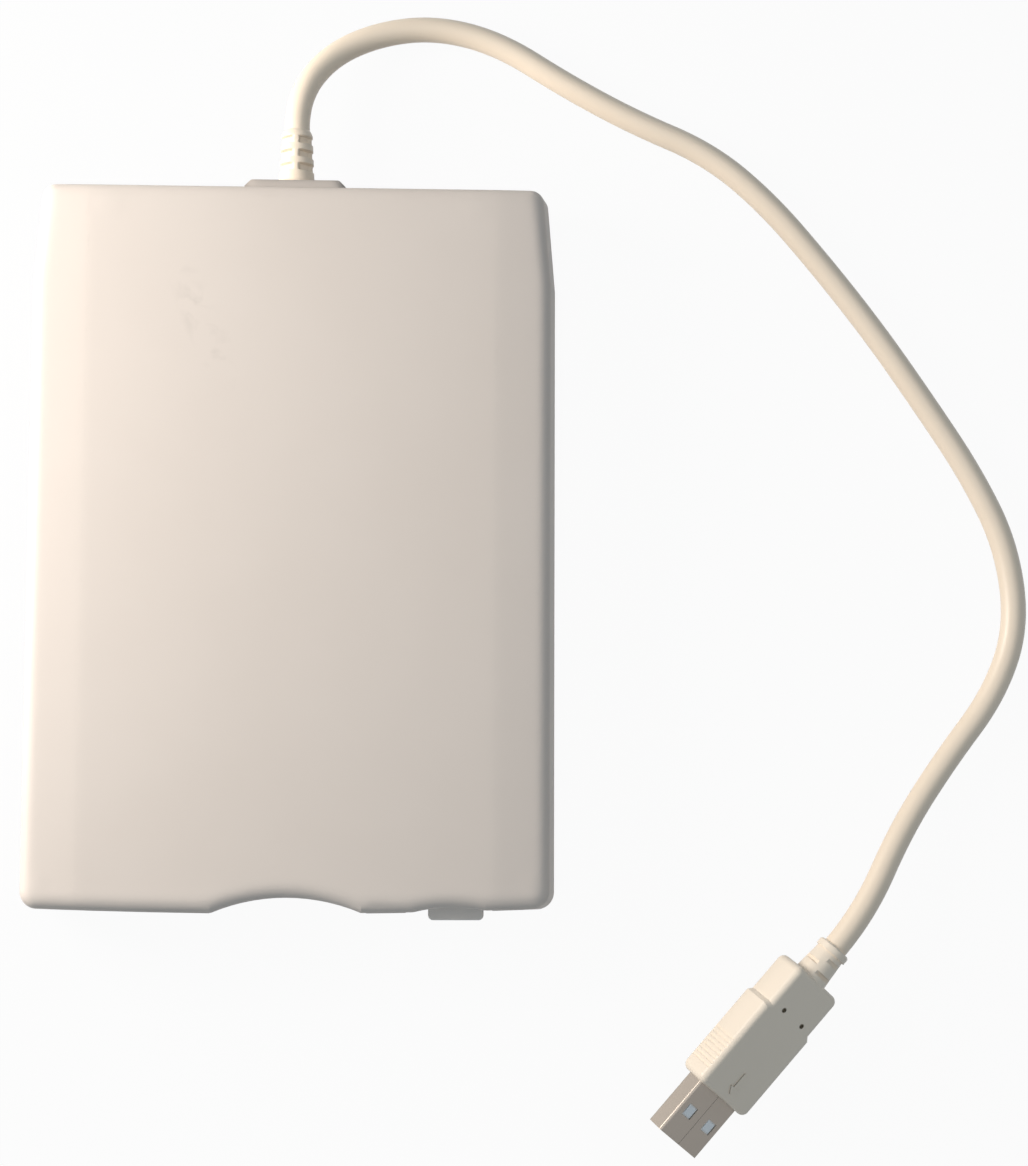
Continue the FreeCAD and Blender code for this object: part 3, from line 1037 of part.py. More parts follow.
def bottom_case():
    """Lower shell: floor with bosses, screw posts, foot recesses, button and lamp windows."""
    body = new_body("bottom_case")
    pad(body, sketch_on(body, "XY", "parting", case_outline()), "parting - foot_height", down=True)
    lean_walls(body, "bottom_draft", "end_draft", True)
    round_corners(body)

    def bottom_edge(edge):
        return edge.BoundBox.ZMax < number("foot_height + 0.1")

    dress(body, "Fillet", choose=bottom_edge, Radius="bottom_edge")
    cut_scoops(body, "foot_height", "bottom_edge", -1)
    outline = sketch_on(body, "XY", "parting", rear_pad_outline())
    pad(body, outline, "rear_pad_half_height", down=True)
    round_pad(body)
    pocket(body, sketch_on(body, "XY", "parting", hollow_outline()), "parting - floor")
    both = ("1", "-1")
    frame_screws = [
        (f"({side}) * frame_screw_x", y) for side in both for y in ("frame_screw_front", "frame_screw_rear")
    ]
    case_screws = [(f"({side}) * case_screw_x", "case_screw_y") for side in both]
    feet = [(f"({side}) * foot_x", f"({end}) * foot_y") for side in both for end in both]
    bosses = [circle(x, y, "frame_boss_radius") for x, y in frame_screws]
    pad(body, sketch_on(body, "XY", "floor", *bosses), "frame_seat")
    posts = [circle(x, y, "case_post_radius") for x, y in case_screws]
    pad(body, sketch_on(body, "XY", "floor", *posts), "parting - floor")
    bores = [circle(x, y, "frame_screw_radius + screw_hole_gap") for x, y in frame_screws]
    bores += [circle(x, y, "case_screw_radius + screw_hole_gap") for x, y in case_screws]
    pocket(body, sketch_on(body, "XY", "0", *bores), "parting + 1", up=True)
    recesses = [circle(x, y, "screw_head_radius + screw_hole_gap") for x, y in frame_screws + case_screws]
    pocket(body, sketch_on(body, "XY", "0", *recesses), "foot_height + screw_head_height + fit_gap", up=True)
    seats = [circle(x, y, "foot_radius + foot_gap") for x, y in feet]
    pocket(body, sketch_on(body, "XY", "0", *seats), "foot_height + foot_seat", up=True)
    window = rectangle(
        ("button_x - button_width / 2 - button_gap", "button_bottom - button_gap"),
        ("button_x + button_width / 2 + button_gap", "button_bottom + button_height + button_gap"),
    )
    lamp = rectangle(
        ("lens_x - lens_width / 2 - pivot_gap", "lens_bottom - pivot_gap"),
        ("lens_x + lens_width / 2 + pivot_gap", "lens_bottom + lens_height + pivot_gap"),
    )
    pocket(body, sketch_on(body, "XZ", "10 - front", window, lamp), "front_wall + 10.5")
    cut_gland(body)
    return body


def rubber_feet():
    """Four rubber discs pressed into the floor of the lower shell."""
    discs = [
        cylinder(
            "z",
            (f"({side}) * foot_x", f"({end}) * foot_y", "0"),
            "foot_radius",
            "foot_height + foot_seat",
        )
        for side in ("1", "-1")
        for end in ("1", "-1")
    ]
    return node(group(*discs), "rubber_feet")


def screw(x, y, radius, tip):
    """A pan-head screw put in from below the floor."""
    start = "foot_height + fit_gap"
    head = cylinder("z", (x, y, start), "screw_head_radius", "screw_head_height")
    shank = cylinder("z", (x, y, start), radius, f"({tip}) - ({start})")
    return fuse(head, shank)


def screws():
    """Screws that close the case, and screws that hold the mechanism's frame."""
    sides = ("1", "-1")
    closing = [
        screw(f"({side}) * case_screw_x", "case_screw_y", "case_screw_radius", "roof - 2.5")
        for side in sides
    ]
    holding = [
        screw(f"({side}) * frame_screw_x", y, "frame_screw_radius", "frame_floor + 0.7")
        for side in sides
        for y in ("frame_screw_front", "frame_screw_rear")
    ]
    return node(group(*closing), "case_screws"), node(group(*holding), "frame_screws")


def eject_button():
    """Push button with rounded front corners, seated on the tab of the slide plate."""
    body = new_body("eject_button")
    left = "button_x - button_width / 2"
    right = "button_x + button_width / 2"
    outline = rectangle((left, "button_front"), (right, "slide_tab_front"))
    pad(body, sketch_on(body, "XY", "button_bottom", outline), "button_height")

    def front_upright(edge):
        return edge.BoundBox.YMax < number("button_front + 0.1") and upright(edge)

    def front_rim(edge):
        return edge.BoundBox.YMax < number("button_front + button_corner + 0.1") and not upright(edge)

    dress(body, "Fillet", choose=front_upright, Radius="button_corner")
    dress(body, "Fillet", choose=front_rim, Radius="button_corner / 3")
    return body


def led_lens():
    """Light pipe that carries the lamp's light through the front wall."""
    low = ("lens_x - lens_width / 2", "front + lens_inset", "lens_bottom")
    high = ("lens_x + lens_width / 2", "lens_end", "lens_bottom + lens_height")
    return node(box(low, high), "led_lens")


def slot_flap():
    """Dust flap behind the slot: a plate with a rounded top edge and a pin at each end."""
    half = "flap_half"
    plate = box((minus(half), "flap_front", "flap_bottom"), (half, "flap_back", "flap_axis"))
    rolled = cylinder("x", (minus(half), "flap_y", "flap_axis"), "flap_thickness / 2", f"2 * {half}")
    length = "flap_half + flap_pin_length"
    pin = cylinder("x", (minus(length), "flap_y", "flap_axis"), "flap_pin_radius", f"2 * ({length})")
    stub = box((minus(half), "flap_y - 0.45", "flap_axis - 1"), (half, "flap_y + 0.45", "flap_axis + 0.2"))
    return node(fuse(plate, rolled, cut(pin, stub)), "slot_flap")


# Mechanism frame, carrier and slide plate


def mechanism_frame():
    """Folded sheet tray with upright slots that guide the carrier's pins."""
    body = new_body("mechanism_frame")
    half = "frame_half"
    floor_plate = rectangle((minus(half), "-frame_front"), (half, "frame_rear"))
    bearing = circle("0", "hub_y", "bearing_radius + pivot_gap")
    screw_holes = [
        circle(f"({side}) * frame_screw_x", y, "frame_screw_radius + pivot_gap")
        for side in ("1", "-1")
        for y in ("frame_screw_front", "frame_screw_rear")
    ]
    pad(body, sketch_on(body, "XY", "frame_bottom", floor_plate, bearing, *screw_holes), "frame_sheet")
    side = rectangle(("-frame_front", "frame_bottom"), ("frame_rear", "frame_side_top"))
    slots = [
        obround((y, "cam_pin_height"), (y, "cam_pin_height - disk_drop"), "cam_slot_radius")
        for y in ("cam_pin_front", "cam_pin_rear")
    ]
    for plane in ("frame_inner", minus(half)):
        pad(body, sketch_on(body, "YZ", plane, side, *slots), "frame_sheet")
    back = rectangle((minus(half), "frame_bottom"), (half, "frame_side_top - 2"))
    pad(body, sketch_on(body, "XZ", "-frame_rear", back), "frame_sheet")
    tabs = [
        rectangle(
            ("spring_x - spring_radius", "spring_height - 1.5"),
            ("frame_inner + 0.2", "spring_height + 1.5"),
        ),
        rectangle(
            (minus("frame_inner + 0.2"), "spring_height - 1.5"),
            ("spring_radius - spring_x", "spring_height + 1.5"),
        ),
    ]
    pad(body, sketch_on(body, "XZ", "-spring_front", *tabs), "spring_hook")
    return body


def mechanism_cover():
    """Thin lid over the mechanism, with skirts outside the frame and a window over the heads."""
    half = "frame_half + cover_side_gap + cover_sheet"
    inside = "frame_half + cover_side_gap"
    rear = "taper_start"
    plate = box((minus(half), "cover_front", "cover_bottom"), (half, rear, "cover_top"))
    skirts = [
        box((inside, "cover_front", "cover_skirt_bottom"), (half, rear, "cover_top")),
        box((minus(half), "cover_front", "cover_skirt_bottom"), (minus(inside), rear, "cover_top")),
    ]
    window = box(
        ("-head_window_width / 2", "head_window_front", "cover_bottom - 1"),
        ("head_window_width / 2", rear + " + 1", "cover_top + 1"),
    )
    hub = cylinder("z", ("0", "hub_y", "cover_bottom - 1"), "chuck_radius", "cover_sheet + 2")
    return node(cut(fuse(plate, *skirts), window, hub), "mechanism_cover")


def slide_plate():
    """Sheet yoke that the button pushes: inclined slots in its sides lift the carrier."""
    body = new_body("slide_plate")
    outer = "slide_outer"
    yoke = polygon(
        (minus(outer), "slide_front"),
        (outer, "slide_front"),
        (outer, "slide_rear"),
        ("slide_strip_inner", "slide_rear"),
        ("slide_strip_inner", "slide_bar_rear"),
        (minus("slide_strip_inner"), "slide_bar_rear"),
        (minus("slide_strip_inner"), "slide_rear"),
        (minus(outer), "slide_rear"),
    )
    pad(body, sketch_on(body, "XY", "slide_bottom", yoke), "slide_sheet")
    side = rectangle(("slide_front", "slide_side_bottom"), ("slide_side_rear", "slide_top"))
    with_arm = polygon(
        ("slide_front", "slide_top"),
        ("slide_front", "slide_tab_top"),
        ("slide_tab_front", "slide_tab_top"),
        ("slide_tab_front", "slide_tab_bottom"),
        ("slide_bar_rear", "slide_tab_bottom"),
        ("slide_bar_rear", "slide_side_bottom"),
        ("slide_side_rear", "slide_side_bottom"),
        ("slide_side_rear", "slide_top"),
    )
    lowered = "cam_pin_height - disk_drop"
    slots = [
        obround((y, "cam_pin_height"), (f"({y}) + slide_stroke", lowered), "cam_slot_radius")
        for y in ("cam_pin_front", "cam_pin_rear")
    ]
    pad(body, sketch_on(body, "YZ", "slide_inner", with_arm, *slots), "slide_sheet")
    pad(body, sketch_on(body, "YZ", minus(outer), side, *slots), "slide_sheet")
    tab = rectangle(("button_x", "slide_tab_bottom"), (outer, "slide_tab_top"))
    pad(body, sketch_on(body, "XZ", "-slide_tab_rear", tab), "slide_sheet")
    hook_low = "spring_height - 1.5"
    hooks = [
        rectangle(("spring_x - spring_radius", hook_low), ("spring_x + spring_radius", "slide_top")),
        rectangle((minus("spring_x + spring_radius"), hook_low), ("spring_radius - spring_x", "slide_top")),
    ]
    pad(body, sketch_on(body, "XZ", "-slide_rear", *hooks), "spring_hook")
    return body


def disk_carrier():
    """Sheet holder that grips the disk by its edges, slotted for the heads and the latch pin."""
    body = new_body("disk_carrier")
    outer = "carrier_outer"
    plate = polygon(
        (minus(outer), "carrier_front"),
        (outer, "carrier_front"),
        (outer, "carrier_side_rear"),
        ("carrier_inner - carrier_lip", "carrier_rear"),
        ("post_slot_half", "carrier_rear"),
        ("post_slot_half", "post_slot_front"),
        ("head_slot_half", "post_slot_front"),
        ("head_slot_half", "head_slot_front"),
        (minus("head_slot_half"), "head_slot_front"),
        (minus("head_slot_half"), "post_slot_front"),
        (minus("post_slot_half"), "post_slot_front"),
        (minus("post_slot_half"), "carrier_rear"),
        (minus("carrier_inner - carrier_lip"), "carrier_rear"),
        (minus(outer), "carrier_side_rear"),
    )
    hub = circle("0", "hub_y", "chuck_radius")
    pad(body, sketch_on(body, "XY", "carrier_roof", plate, hub), "carrier_sheet")
    for low, high in (("carrier_inner", outer), (minus(outer), minus("carrier_inner"))):
        side = rectangle((low, "carrier_front"), (high, "carrier_side_rear"))
        pad(body, sketch_on(body, "XY", "carrier_bottom", side), "carrier_top - carrier_bottom")
    tip = "carrier_inner - carrier_lip"
    for low, high in ((tip, outer), (minus(outer), minus(tip))):
        lip = rectangle((low, "carrier_front"), (high, "carrier_side_rear"))
        pad(body, sketch_on(body, "XY", "carrier_bottom", lip), "carrier_sheet")
    slot = latch_slot()
    pocket(body, sketch_on(body, "XY", "carrier_roof - 1", slot), "carrier_sheet + 2", up=True)
    rivet = circle("latch_x", "latch_y", "rivet_radius + pivot_gap")
    pocket(body, sketch_on(body, "XY", "carrier_roof - 1", rivet), "carrier_sheet + 2", up=True)
    return body


def latch_slot():
    """The arc-shaped slot of the latch's pin, as a polygon with two long arcs."""
    inner = "latch_length - latch_pin_radius - latch_slot_gap"
    outer = "latch_length + latch_pin_radius + latch_slot_gap"
    start = "-4"
    end = "latch_turn + 4"

    def on_arc(radius, angle):
        return (
            f"latch_x + ({radius}) * cos(({angle}) * 1 deg)",
            f"latch_y + ({radius}) * sin(({angle}) * 1 deg)",
        )

    return polygon(
        on_arc(inner, start),
        on_arc(outer, start),
        ("arc", f"({outer}) * (1 - cos(({end} - ({start})) / 2 * 1 deg))"),
        on_arc(outer, end),
        on_arc(inner, end),
        ("arc", f"-({inner}) * (1 - cos(({end} - ({start})) / 2 * 1 deg))"),
    )


def carrier_pins():
    """Four pins riveted to the carrier's sides that run in the slide plate and the frame."""
    length = "frame_half - carrier_outer - pivot_gap"
    pins = []
    for y in ("cam_pin_front", "cam_pin_rear"):
        pins.append(cylinder("x", ("carrier_outer", y, "cam_pin_height"), "cam_pin_radius", length))
        pins.append(cylinder("x", ("pivot_gap - frame_half", y, "cam_pin_height"), "cam_pin_radius", length))
    return node(group(*pins), "carrier_pins")


def shutter_latch():
    """Lever on the carrier whose pin opens the disk's shutter as the disk goes in."""
    arm = box(
        ("latch_x", "latch_y - latch_width / 2", "latch_bottom"),
        ("latch_x + latch_length", "latch_y + latch_width / 2", "latch_top"),
    )
    round_end = cylinder(
        "z",
        ("latch_x + latch_length", "latch_y", "latch_bottom"),
        "latch_width / 2",
        "latch_sheet",
    )
    boss = cylinder("z", ("latch_x", "latch_y", "latch_bottom"), "latch_width / 2 + 1", "latch_sheet")
    hole = cylinder(
        "z",
        ("latch_x", "latch_y", "latch_bottom - 1"),
        "rivet_radius + pivot_gap",
        "latch_sheet + 2",
    )
    pin = cylinder(
        "z",
        ("latch_x + latch_length", "latch_y", "carrier_roof - 2.5"),
        "latch_pin_radius",
        "latch_bottom - carrier_roof + 2.6",
    )
    return node(cut(fuse(arm, round_end, boss, pin), hole), "shutter_latch")


def latch_rivet():
    """Rivet in the carrier that the latch turns on."""
    shank = cylinder(
        "z",
        ("latch_x", "latch_y", "carrier_roof"),
        "rivet_radius",
        "latch_top + pivot_gap - carrier_roof",
    )
    head = cylinder(
        "z",
        ("latch_x", "latch_y", "latch_top + pivot_gap"),
        "rivet_head_radius",
        "rivet_head_height",
    )
    return node(fuse(shank, head), "latch_rivet")


def slide_springs():
    """Two tension springs that pull the slide plate towards the front."""
    start = number("spring_front + spring_wire")
    end = number("slide_rear - spring_hook - spring_wire")
    mean = number("spring_radius - spring_wire")
    wire = number("spring_wire")
    coils = int(number("spring_coils"))
    springs = []
    for side in (1, -1):
        centre = Vector(side * number("spring_x"), start, number("spring_height"))
        helix = Part.makeHelix((end - start) / coils, end - start, mean)
        profile = Part.Wire(Part.makeCircle(wire, Vector(mean, 0, 0), Vector(0, 1, 0)))
        coil = Part.Wire(helix.Edges).makePipeShell([profile], True, True)
        coil.Placement = Placement(centre, TURN_TO["y"])
        springs.append(coil)
    feature = doc.addObject("Part::Feature", "springs")
    feature.Shape = Part.makeCompound(springs)
    return node(feature, "slide_springs")


# Spindle motor


def motor_board():
    """Circuit board of the spindle motor, with a way through for the bearing."""
    half = "board_half_width"
    plate = box((minus(half), "board_front", "board_bottom"), (half, "board_rear", "board_top"))
    hole = cylinder("z", ("0", "hub_y", "board_bottom - 1"), "bearing_radius + pivot_gap", "board_sheet + 2")
    return node(cut(plate, hole), "motor_board")


def spindle_bearing():
    """Flanged sintered bush pressed into the frame."""
    tube = cylinder("z", ("0", "hub_y", "frame_bottom"), "bearing_radius", "bearing_top - frame_bottom")
    flange = cylinder("z", ("0", "hub_y", "board_top"), "bearing_flange_radius", "bearing_flange")
    bore = cylinder("z", ("0", "hub_y", "frame_bottom - 1"), "spindle_radius + spindle_gap", "bearing_top")
    return node(cut(fuse(tube, flange), bore), "spindle_bearing")


def spindle_shaft():
    shaft = cylinder("z", ("0", "hub_y", "spindle_bottom"), "spindle_radius", "spindle_top - spindle_bottom")
    return node(shaft, "spindle_shaft")


def rotor_cup():
    """Pressed cup on the shaft that carries the ring magnet."""
    top = cylinder("z", ("0", "hub_y", "rotor_top - rotor_sheet"), "rotor_radius", "rotor_sheet")
    wall = cylinder("z", ("0", "hub_y", "rotor_bottom"), "rotor_radius", "rotor_top - rotor_bottom")
    hollow = cylinder(
        "z", ("0", "hub_y", "rotor_bottom - 1"), "rotor_radius - rotor_sheet", "rotor_top - rotor_bottom + 2"
    )
    bore = cylinder("z", ("0", "hub_y", "rotor_bottom - 1"), "spindle_radius", "rotor_top - rotor_bottom + 2")
    return node(cut(fuse(top, cut(wall, hollow)), bore), "rotor_cup")


def rotor_magnet():
    height = "rotor_top - rotor_sheet - rotor_bottom"
    ring = cylinder("z", ("0", "hub_y", "rotor_bottom"), "magnet_radius", height)
    hollow = cylinder("z", ("0", "hub_y", "rotor_bottom - 1"), "rotor_radius", f"{height} + 2")
    return node(cut(ring, hollow), "rotor_magnet")


def chucking_plate():
    """Magnetic plate on the rotor that the disk's steel hub sits on."""
    plate = cylinder("z", ("0", "hub_y", "rotor_top"), "chuck_radius", "chuck_thickness")
    bore = cylinder("z", ("0", "hub_y", "rotor_top - 1"), "spindle_radius", "chuck_thickness + 2")
    pin_hole = cylinder(
        "z",
        ("drive_pin_circle", "hub_y", "rotor_top - 1"),
        "drive_pin_radius + pivot_gap",
        "chuck_thickness + 2",
    )
    return node(cut(plate, bore, pin_hole), "chucking_plate")


def drive_pin():
    height = "chuck_thickness + drive_pin_height"
    pin = cylinder("z", ("drive_pin_circle", "hub_y", "rotor_top"), "drive_pin_radius", height)
    return node(pin, "drive_pin")


def tooth_angles():
    """Directions of the stator's teeth; the side towards the heads stays open."""
    count = int(number("stator_teeth"))
    gap = number("stator_open")
    first = 90 + gap / 2
    step = (360 - gap) / (count - 1)
    return [first + step * i for i in range(count)]


def turned_about_spindle(shape, angle):
    centre = Vector(0, number("hub_y"), 0)
    return shape.rotated(centre, Vector(0, 0, 1), angle)


def ring_sector(inner, outer, low, high, start, end):
    """A flat ring of which only the part between two angles is kept."""
    centre = Vector(0, number("hub_y"), low)
    up = Vector(0, 0, 1)
    disc = Part.makeCylinder(outer, high - low, centre, up, end - start)
    hole = Part.makeCylinder(inner, high - low, centre, up, 360)
    sector = disc.cut(hole)
    return sector.rotated(centre, up, start)


def stator_core():
    """Laminated yoke with teeth that end in shoes round the magnet."""
    low = number("stator_bottom")
    high = number("stator_bottom + stator_stack")
    outer = number("stator_radius")
    yoke = number("stator_radius - stator_yoke")
    bore = number("stator_bore")
    shoe = number("stator_bore + stator_shoe")
    width = number("stator_tooth")
    angles = tooth_angles()
    step = angles[1] - angles[0]
    core = ring_sector(yoke, outer, low, high, angles[0] - step / 2, angles[-1] + step / 2)
    for angle in angles:
        corner = Vector(shoe - 0.2, number("hub_y") - width / 2, low)
        tooth = Part.makeBox(yoke - shoe + 0.5, width, high - low, corner)
        tip = ring_sector(bore, shoe, low, high, angle - step * 0.35, angle + step * 0.35)
        core = core.fuse(turned_about_spindle(tooth, angle)).fuse(tip)
    feature = doc.addObject("Part::Feature", "core")
    feature.Shape = core.removeSplitter()
    return node(feature, "stator_core")


def stator_coils():
    """One winding round each tooth."""
    width = number("coil_width")
    height = number("coil_height")
    tooth = number("stator_tooth")
    middle = number("stator_bottom + stator_stack / 2")
    start = number("stator_bore + stator_shoe + coil_inset")
    length = number("stator_radius - stator_yoke - coil_inset") - start
    stack = number("stator_stack")
    hub = number("hub_y")
    outside = Part.makeBox(length, width, height, Vector(start, hub - width / 2, middle - height / 2))
    edges = [edge for edge in outside.Edges if near(edge.BoundBox.XLength, length, 0.01)]
    outside = outside.makeFillet(width / 5, edges)
    inside = Part.makeBox(length + 2, tooth, stack, Vector(start - 1, hub - tooth / 2, middle - stack / 2))
    coil = outside.cut(inside)
    feature = doc.addObject("Part::Feature", "coils")
    feature.Shape = Part.makeCompound([turned_about_spindle(coil, angle) for angle in tooth_angles()])
    return node(feature, "stator_coils")


# Heads and their drive


def head_carriage():
    """Moulded carriage: low arm under the disk, rear block with posts, ears on the guide rod."""
    low = "carriage_bottom"
    nose = box((minus("carriage_half"), "arm_nose", low), ("carriage_half", "carriage_rear", "carriage_deck"))
    block = box(
        (minus("carriage_block_half"), "carriage_block_front", low),
        ("carriage_block_half", "carriage_rear", "carriage_block_top"),
    )
    post_inner = "arm_half + pivot_gap"
    posts = []
    for sign in ("1", "-1"):
        inner = f"({sign}) * ({post_inner})"
        outer = f"({sign}) * ({post_inner} + arm_post_thickness)"
        pair = (inner, outer) if sign == "1" else (outer, inner)
        base = box(
            (pair[0], "arm_pivot_y - arm_knuckle_radius", "carriage_block_top - 1"),
            (pair[1], "arm_pivot_y + arm_knuckle_radius", "arm_pivot_z"),
        )
        rounded_end = cylinder(
            "x",
            (pair[0], "arm_pivot_y", "arm_pivot_z"),
            "arm_knuckle_radius",
            "arm_post_thickness",
        )
        posts += [base, rounded_end]
    follower = box(
        ("carriage_block_half - 1", "follower_y - follower_width / 2", "carriage_deck"),
        (
            "screw_x - screw_radius + screw_groove_depth - follower_gap - 0.4",
            "follower_y + follower_width / 2",
            "screw_height + 1.2",
        ),
    )
    web = box(
        ("guide_x", "carriage_block_front - 8", "guide_height - 0.8"),
        (minus("carriage_half - 1"), "carriage_rear", "guide_height + 0.8"),
    )
    ears = []
    for y in ("carriage_block_front - 8", "carriage_rear - guide_ear_length"):
        ears.append(cylinder("y", ("guide_x", y, "guide_height"), "guide_ear_radius", "guide_ear_length"))
    solid = fuse(nose, block, *posts, follower, web, *ears)
    bore = cylinder(
        "y",
        ("guide_x", "guide_front", "guide_height"),
        "guide_radius + guide_gap",
        "guide_rear - guide_front",
    )
    relief = box(
        ("guide_x - guide_ear_radius", "carriage_block_front - 8 + guide_ear_length", low),
        ("guide_x + guide_ear_radius", "carriage_rear - guide_ear_length", "carriage_deck + 1"),
    )
    pin = cylinder(
        "x",
        (minus(post_inner + " + arm_post_thickness"), "arm_pivot_y", "arm_pivot_z"),
        "arm_pin_radius",
        f"2 * ({post_inner} + arm_post_thickness)",
    )
    knuckle_room = cylinder(
        "x",
        (minus(post_inner), "arm_pivot_y", "arm_pivot_z"),
        "arm_knuckle_radius + 0.15",
        f"2 * ({post_inner})",
    )
    return node(cut(solid, bore, relief, pin, knuckle_room), "head_carriage")


def heads():
    """The two sliders: the lower one on the carriage, the upper one under the arm."""
    half = "head_size / 2"
    lower = box(
        (minus(half), f"head_y - {half}", "carriage_deck"),
        (half, f"head_y + {half}", "lower_head_top"),
    )
    upper = box(
        (minus(half), f"head_y - {half}", "upper_head_bottom"),
        (half, f"head_y + {half}", "arm_bottom"),
    )
    return node(lower, "lower_head"), node(upper, "upper_head")


def upper_head_arm():
    """Sprung arm of the upper head, with a knuckle at its pivot and two ears that lift it."""
    nose = box(
        (minus("arm_nose_half"), "arm_nose", "arm_bottom"),
        ("arm_nose_half", "arm_pivot_y - 2", "arm_top"),
    )
    plate = box(
        (minus("arm_half - 0.2"), "arm_nose + arm_nose_length", "arm_bottom"),
        ("arm_half - 0.2", "arm_pivot_y", "arm_top"),
    )
    ears = box(
        (minus("arm_ear_reach"), "arm_ear_y - arm_ear_width / 2", "carrier_top + arm_ear_gap"),
        ("arm_ear_reach", "arm_ear_y + arm_ear_width / 2", "arm_top"),
    )
    knuckle = cylinder(
        "x",
        (minus("arm_half"), "arm_pivot_y", "arm_pivot_z"),
        "arm_knuckle_radius",
        "2 * arm_half",
    )
    neck = box(
        (minus("arm_half"), "arm_pivot_y - arm_knuckle_radius", "arm_pivot_z"),
        ("arm_half", "arm_pivot_y", "arm_top"),
    )
    bore = cylinder(
        "x",
        (minus("arm_half + 1"), "arm_pivot_y", "arm_pivot_z"),
        "arm_pin_radius + pivot_gap",
        "2 * arm_half + 2",
    )
    return node(cut(fuse(nose, plate, ears, knuckle, neck), bore), "upper_head_arm")


def arm_pin():
    reach = "arm_half + pivot_gap + arm_post_thickness"
    pin = cylinder("x", (minus(reach), "arm_pivot_y", "arm_pivot_z"), "arm_pin_radius", f"2 * ({reach})")
    return node(pin, "arm_pin")


def guide_rod():
    rod = cylinder(
        "y",
        ("guide_x", "guide_front", "guide_height"),
        "guide_radius",
        "guide_rear - guide_front",
    )
    return node(rod, "guide_rod")


def rod_clips():
    """Two blocks on the frame's floor that hold the ends of the guide rod."""
    clips = []
    for y in ("guide_front", "guide_rear - guide_clip"):
        block = box(
            ("guide_x - 2", y, "board_top + pivot_gap"),
            ("guide_x + 2", f"{y} + guide_clip", "guide_height + guide_radius + 0.5"),
        )
        if y != "guide_front":
            block = box(
                ("guide_x - 2", y, "frame_floor"),
                ("guide_x + 2", f"{y} + guide_clip", "guide_height + guide_radius + 0.5"),
            )
        bore = cylinder("y", ("guide_x", f"{y} - 1", "guide_height"), "guide_radius", "guide_clip + 2")
        clips.append(cut(block, bore))
    return node(group(*clips), "rod_clips")


def lead_screw():
    """Screw that the stepper motor turns, with journals in both plates of its bracket."""
    front = "screw_front + screw_plate + pivot_gap"
    rear = "screw_rear - pivot_gap"
    shaft = cylinder("y", ("screw_x", front, "screw_height"), "screw_radius", f"{rear} - ({front})")
    journal = cylinder(
        "y",
        ("screw_x", "screw_front", "screw_height"),
        "screw_journal",
        "screw_rear + screw_plate + stepper_length / 2 - screw_front",
    )
    return node(fuse(shaft, journal), "lead_screw")


def screw_bracket():
    """Folded bracket that carries the lead screw's front end and the stepper motor."""
    low = "screw_x - screw_bracket_half"
    high = "screw_x + screw_bracket_half"
    top = "screw_height + 2.2"
    front = box((low, "screw_front", "frame_floor"), (high, "screw_front + screw_plate", top))
    base = box(
        (low, "screw_front", "frame_floor"),
        (high, "screw_rear + screw_plate", "frame_floor + screw_plate"),
    )
    back = box(
        (low, "screw_rear", "frame_floor"),
        (high, "screw_rear + screw_plate", "screw_height + stepper_radius"),
    )
    bore = cylinder(
        "y",
        ("screw_x", "screw_front - 1", "screw_height"),
        "screw_journal + pivot_gap",
        "screw_rear - screw_front + 3",
    )
    return node(cut(fuse(front, base, back), bore), "screw_bracket")


def stepper_motor():
    """Can of the stepper motor, with the way in for the screw's rear journal."""
    start = "screw_rear + screw_plate"
    can = cylinder("y", ("screw_x", start, "screw_height"), "stepper_radius", "stepper_length")
    bore = cylinder(
        "y",
        ("screw_x", f"{start} - 1", "screw_height"),
        "screw_journal + pivot_gap",
        "stepper_length / 2 + 1.2",
    )
    return node(cut(can, bore), "stepper_motor")


# Boards and sensors


def boards():
    """Main board on the left, cord board on the right, each on lifts on the frame's floor."""
    made = []
    boards = (("main_board", "main_board_inner", "-1"), ("cord_board", "cord_board_inner", "1"))
    for label, inner, sign in boards:
        outer = f"({sign}) * pcb_outer"
        low, high = (outer, inner) if sign == "-1" else (inner, outer)
        plate = box((low, "pcb_front", "pcb_bottom"), (high, "pcb_rear", "pcb_top"))
        lifts = []
        for x in (f"{low} + 2", f"{high} - 2"):
            for y in ("pcb_front + 2", "pcb_rear - 2"):
                lifts.append(cylinder("z", (x, y, "frame_floor"), "1.2", "pcb_lift + 0.2"))
        made.append(node(fuse(plate, *lifts), label))
    return made


def on_board(x, y, length, width, height):
    """A package centred on a spot of one of the boards."""
    low = (f"({x}) - ({length}) / 2", f"({y}) - ({width}) / 2", "pcb_top")
    high = (f"({x}) + ({length}) / 2", f"({y}) + ({width}) / 2", f"pcb_top + ({height})")
    return box(low, high)


def packages():
    """Chips, crystal and headers on the two boards."""
    left = "(main_board_inner - pcb_outer) / 2"
    right = "(cord_board_inner + pcb_outer) / 2"
    middle = "(pcb_front + pcb_rear) / 2"
    node(on_board(left, middle, "controller_size", "controller_size", "chip_height"), "controller_chip")
    node(on_board(right, f"{middle} - 5", "bridge_size", "bridge_size", "chip_height"), "interface_chip")
    node(
        on_board(f"{right} - 6", f"{middle} + 3", "crystal_width", "crystal_length", "chip_height"),
        "crystal",
    )
    node(
        on_board(
            f"{right} + 2",
            "pcb_rear - 5",
            "plug_header_length",
            "plug_header_width",
            "plug_header_height",
        ),
        "cord_header",
    )


def sensor_board():
    """Strip of circuit board at the front that carries the lamp and the disk sensors."""
    half = "sensor_board_half"
    plate = box((minus(half), "sensor_board_front", "frame_floor"), (half, "sensor_board_rear", "board_top"))
    holes = [
        cylinder("z", (f"({side}) * frame_screw_x", "frame_screw_front", "frame_floor"), "3", "1")
        for side in ("1", "-1")
    ]
    return node(cut(plate, *holes), "sensor_board")


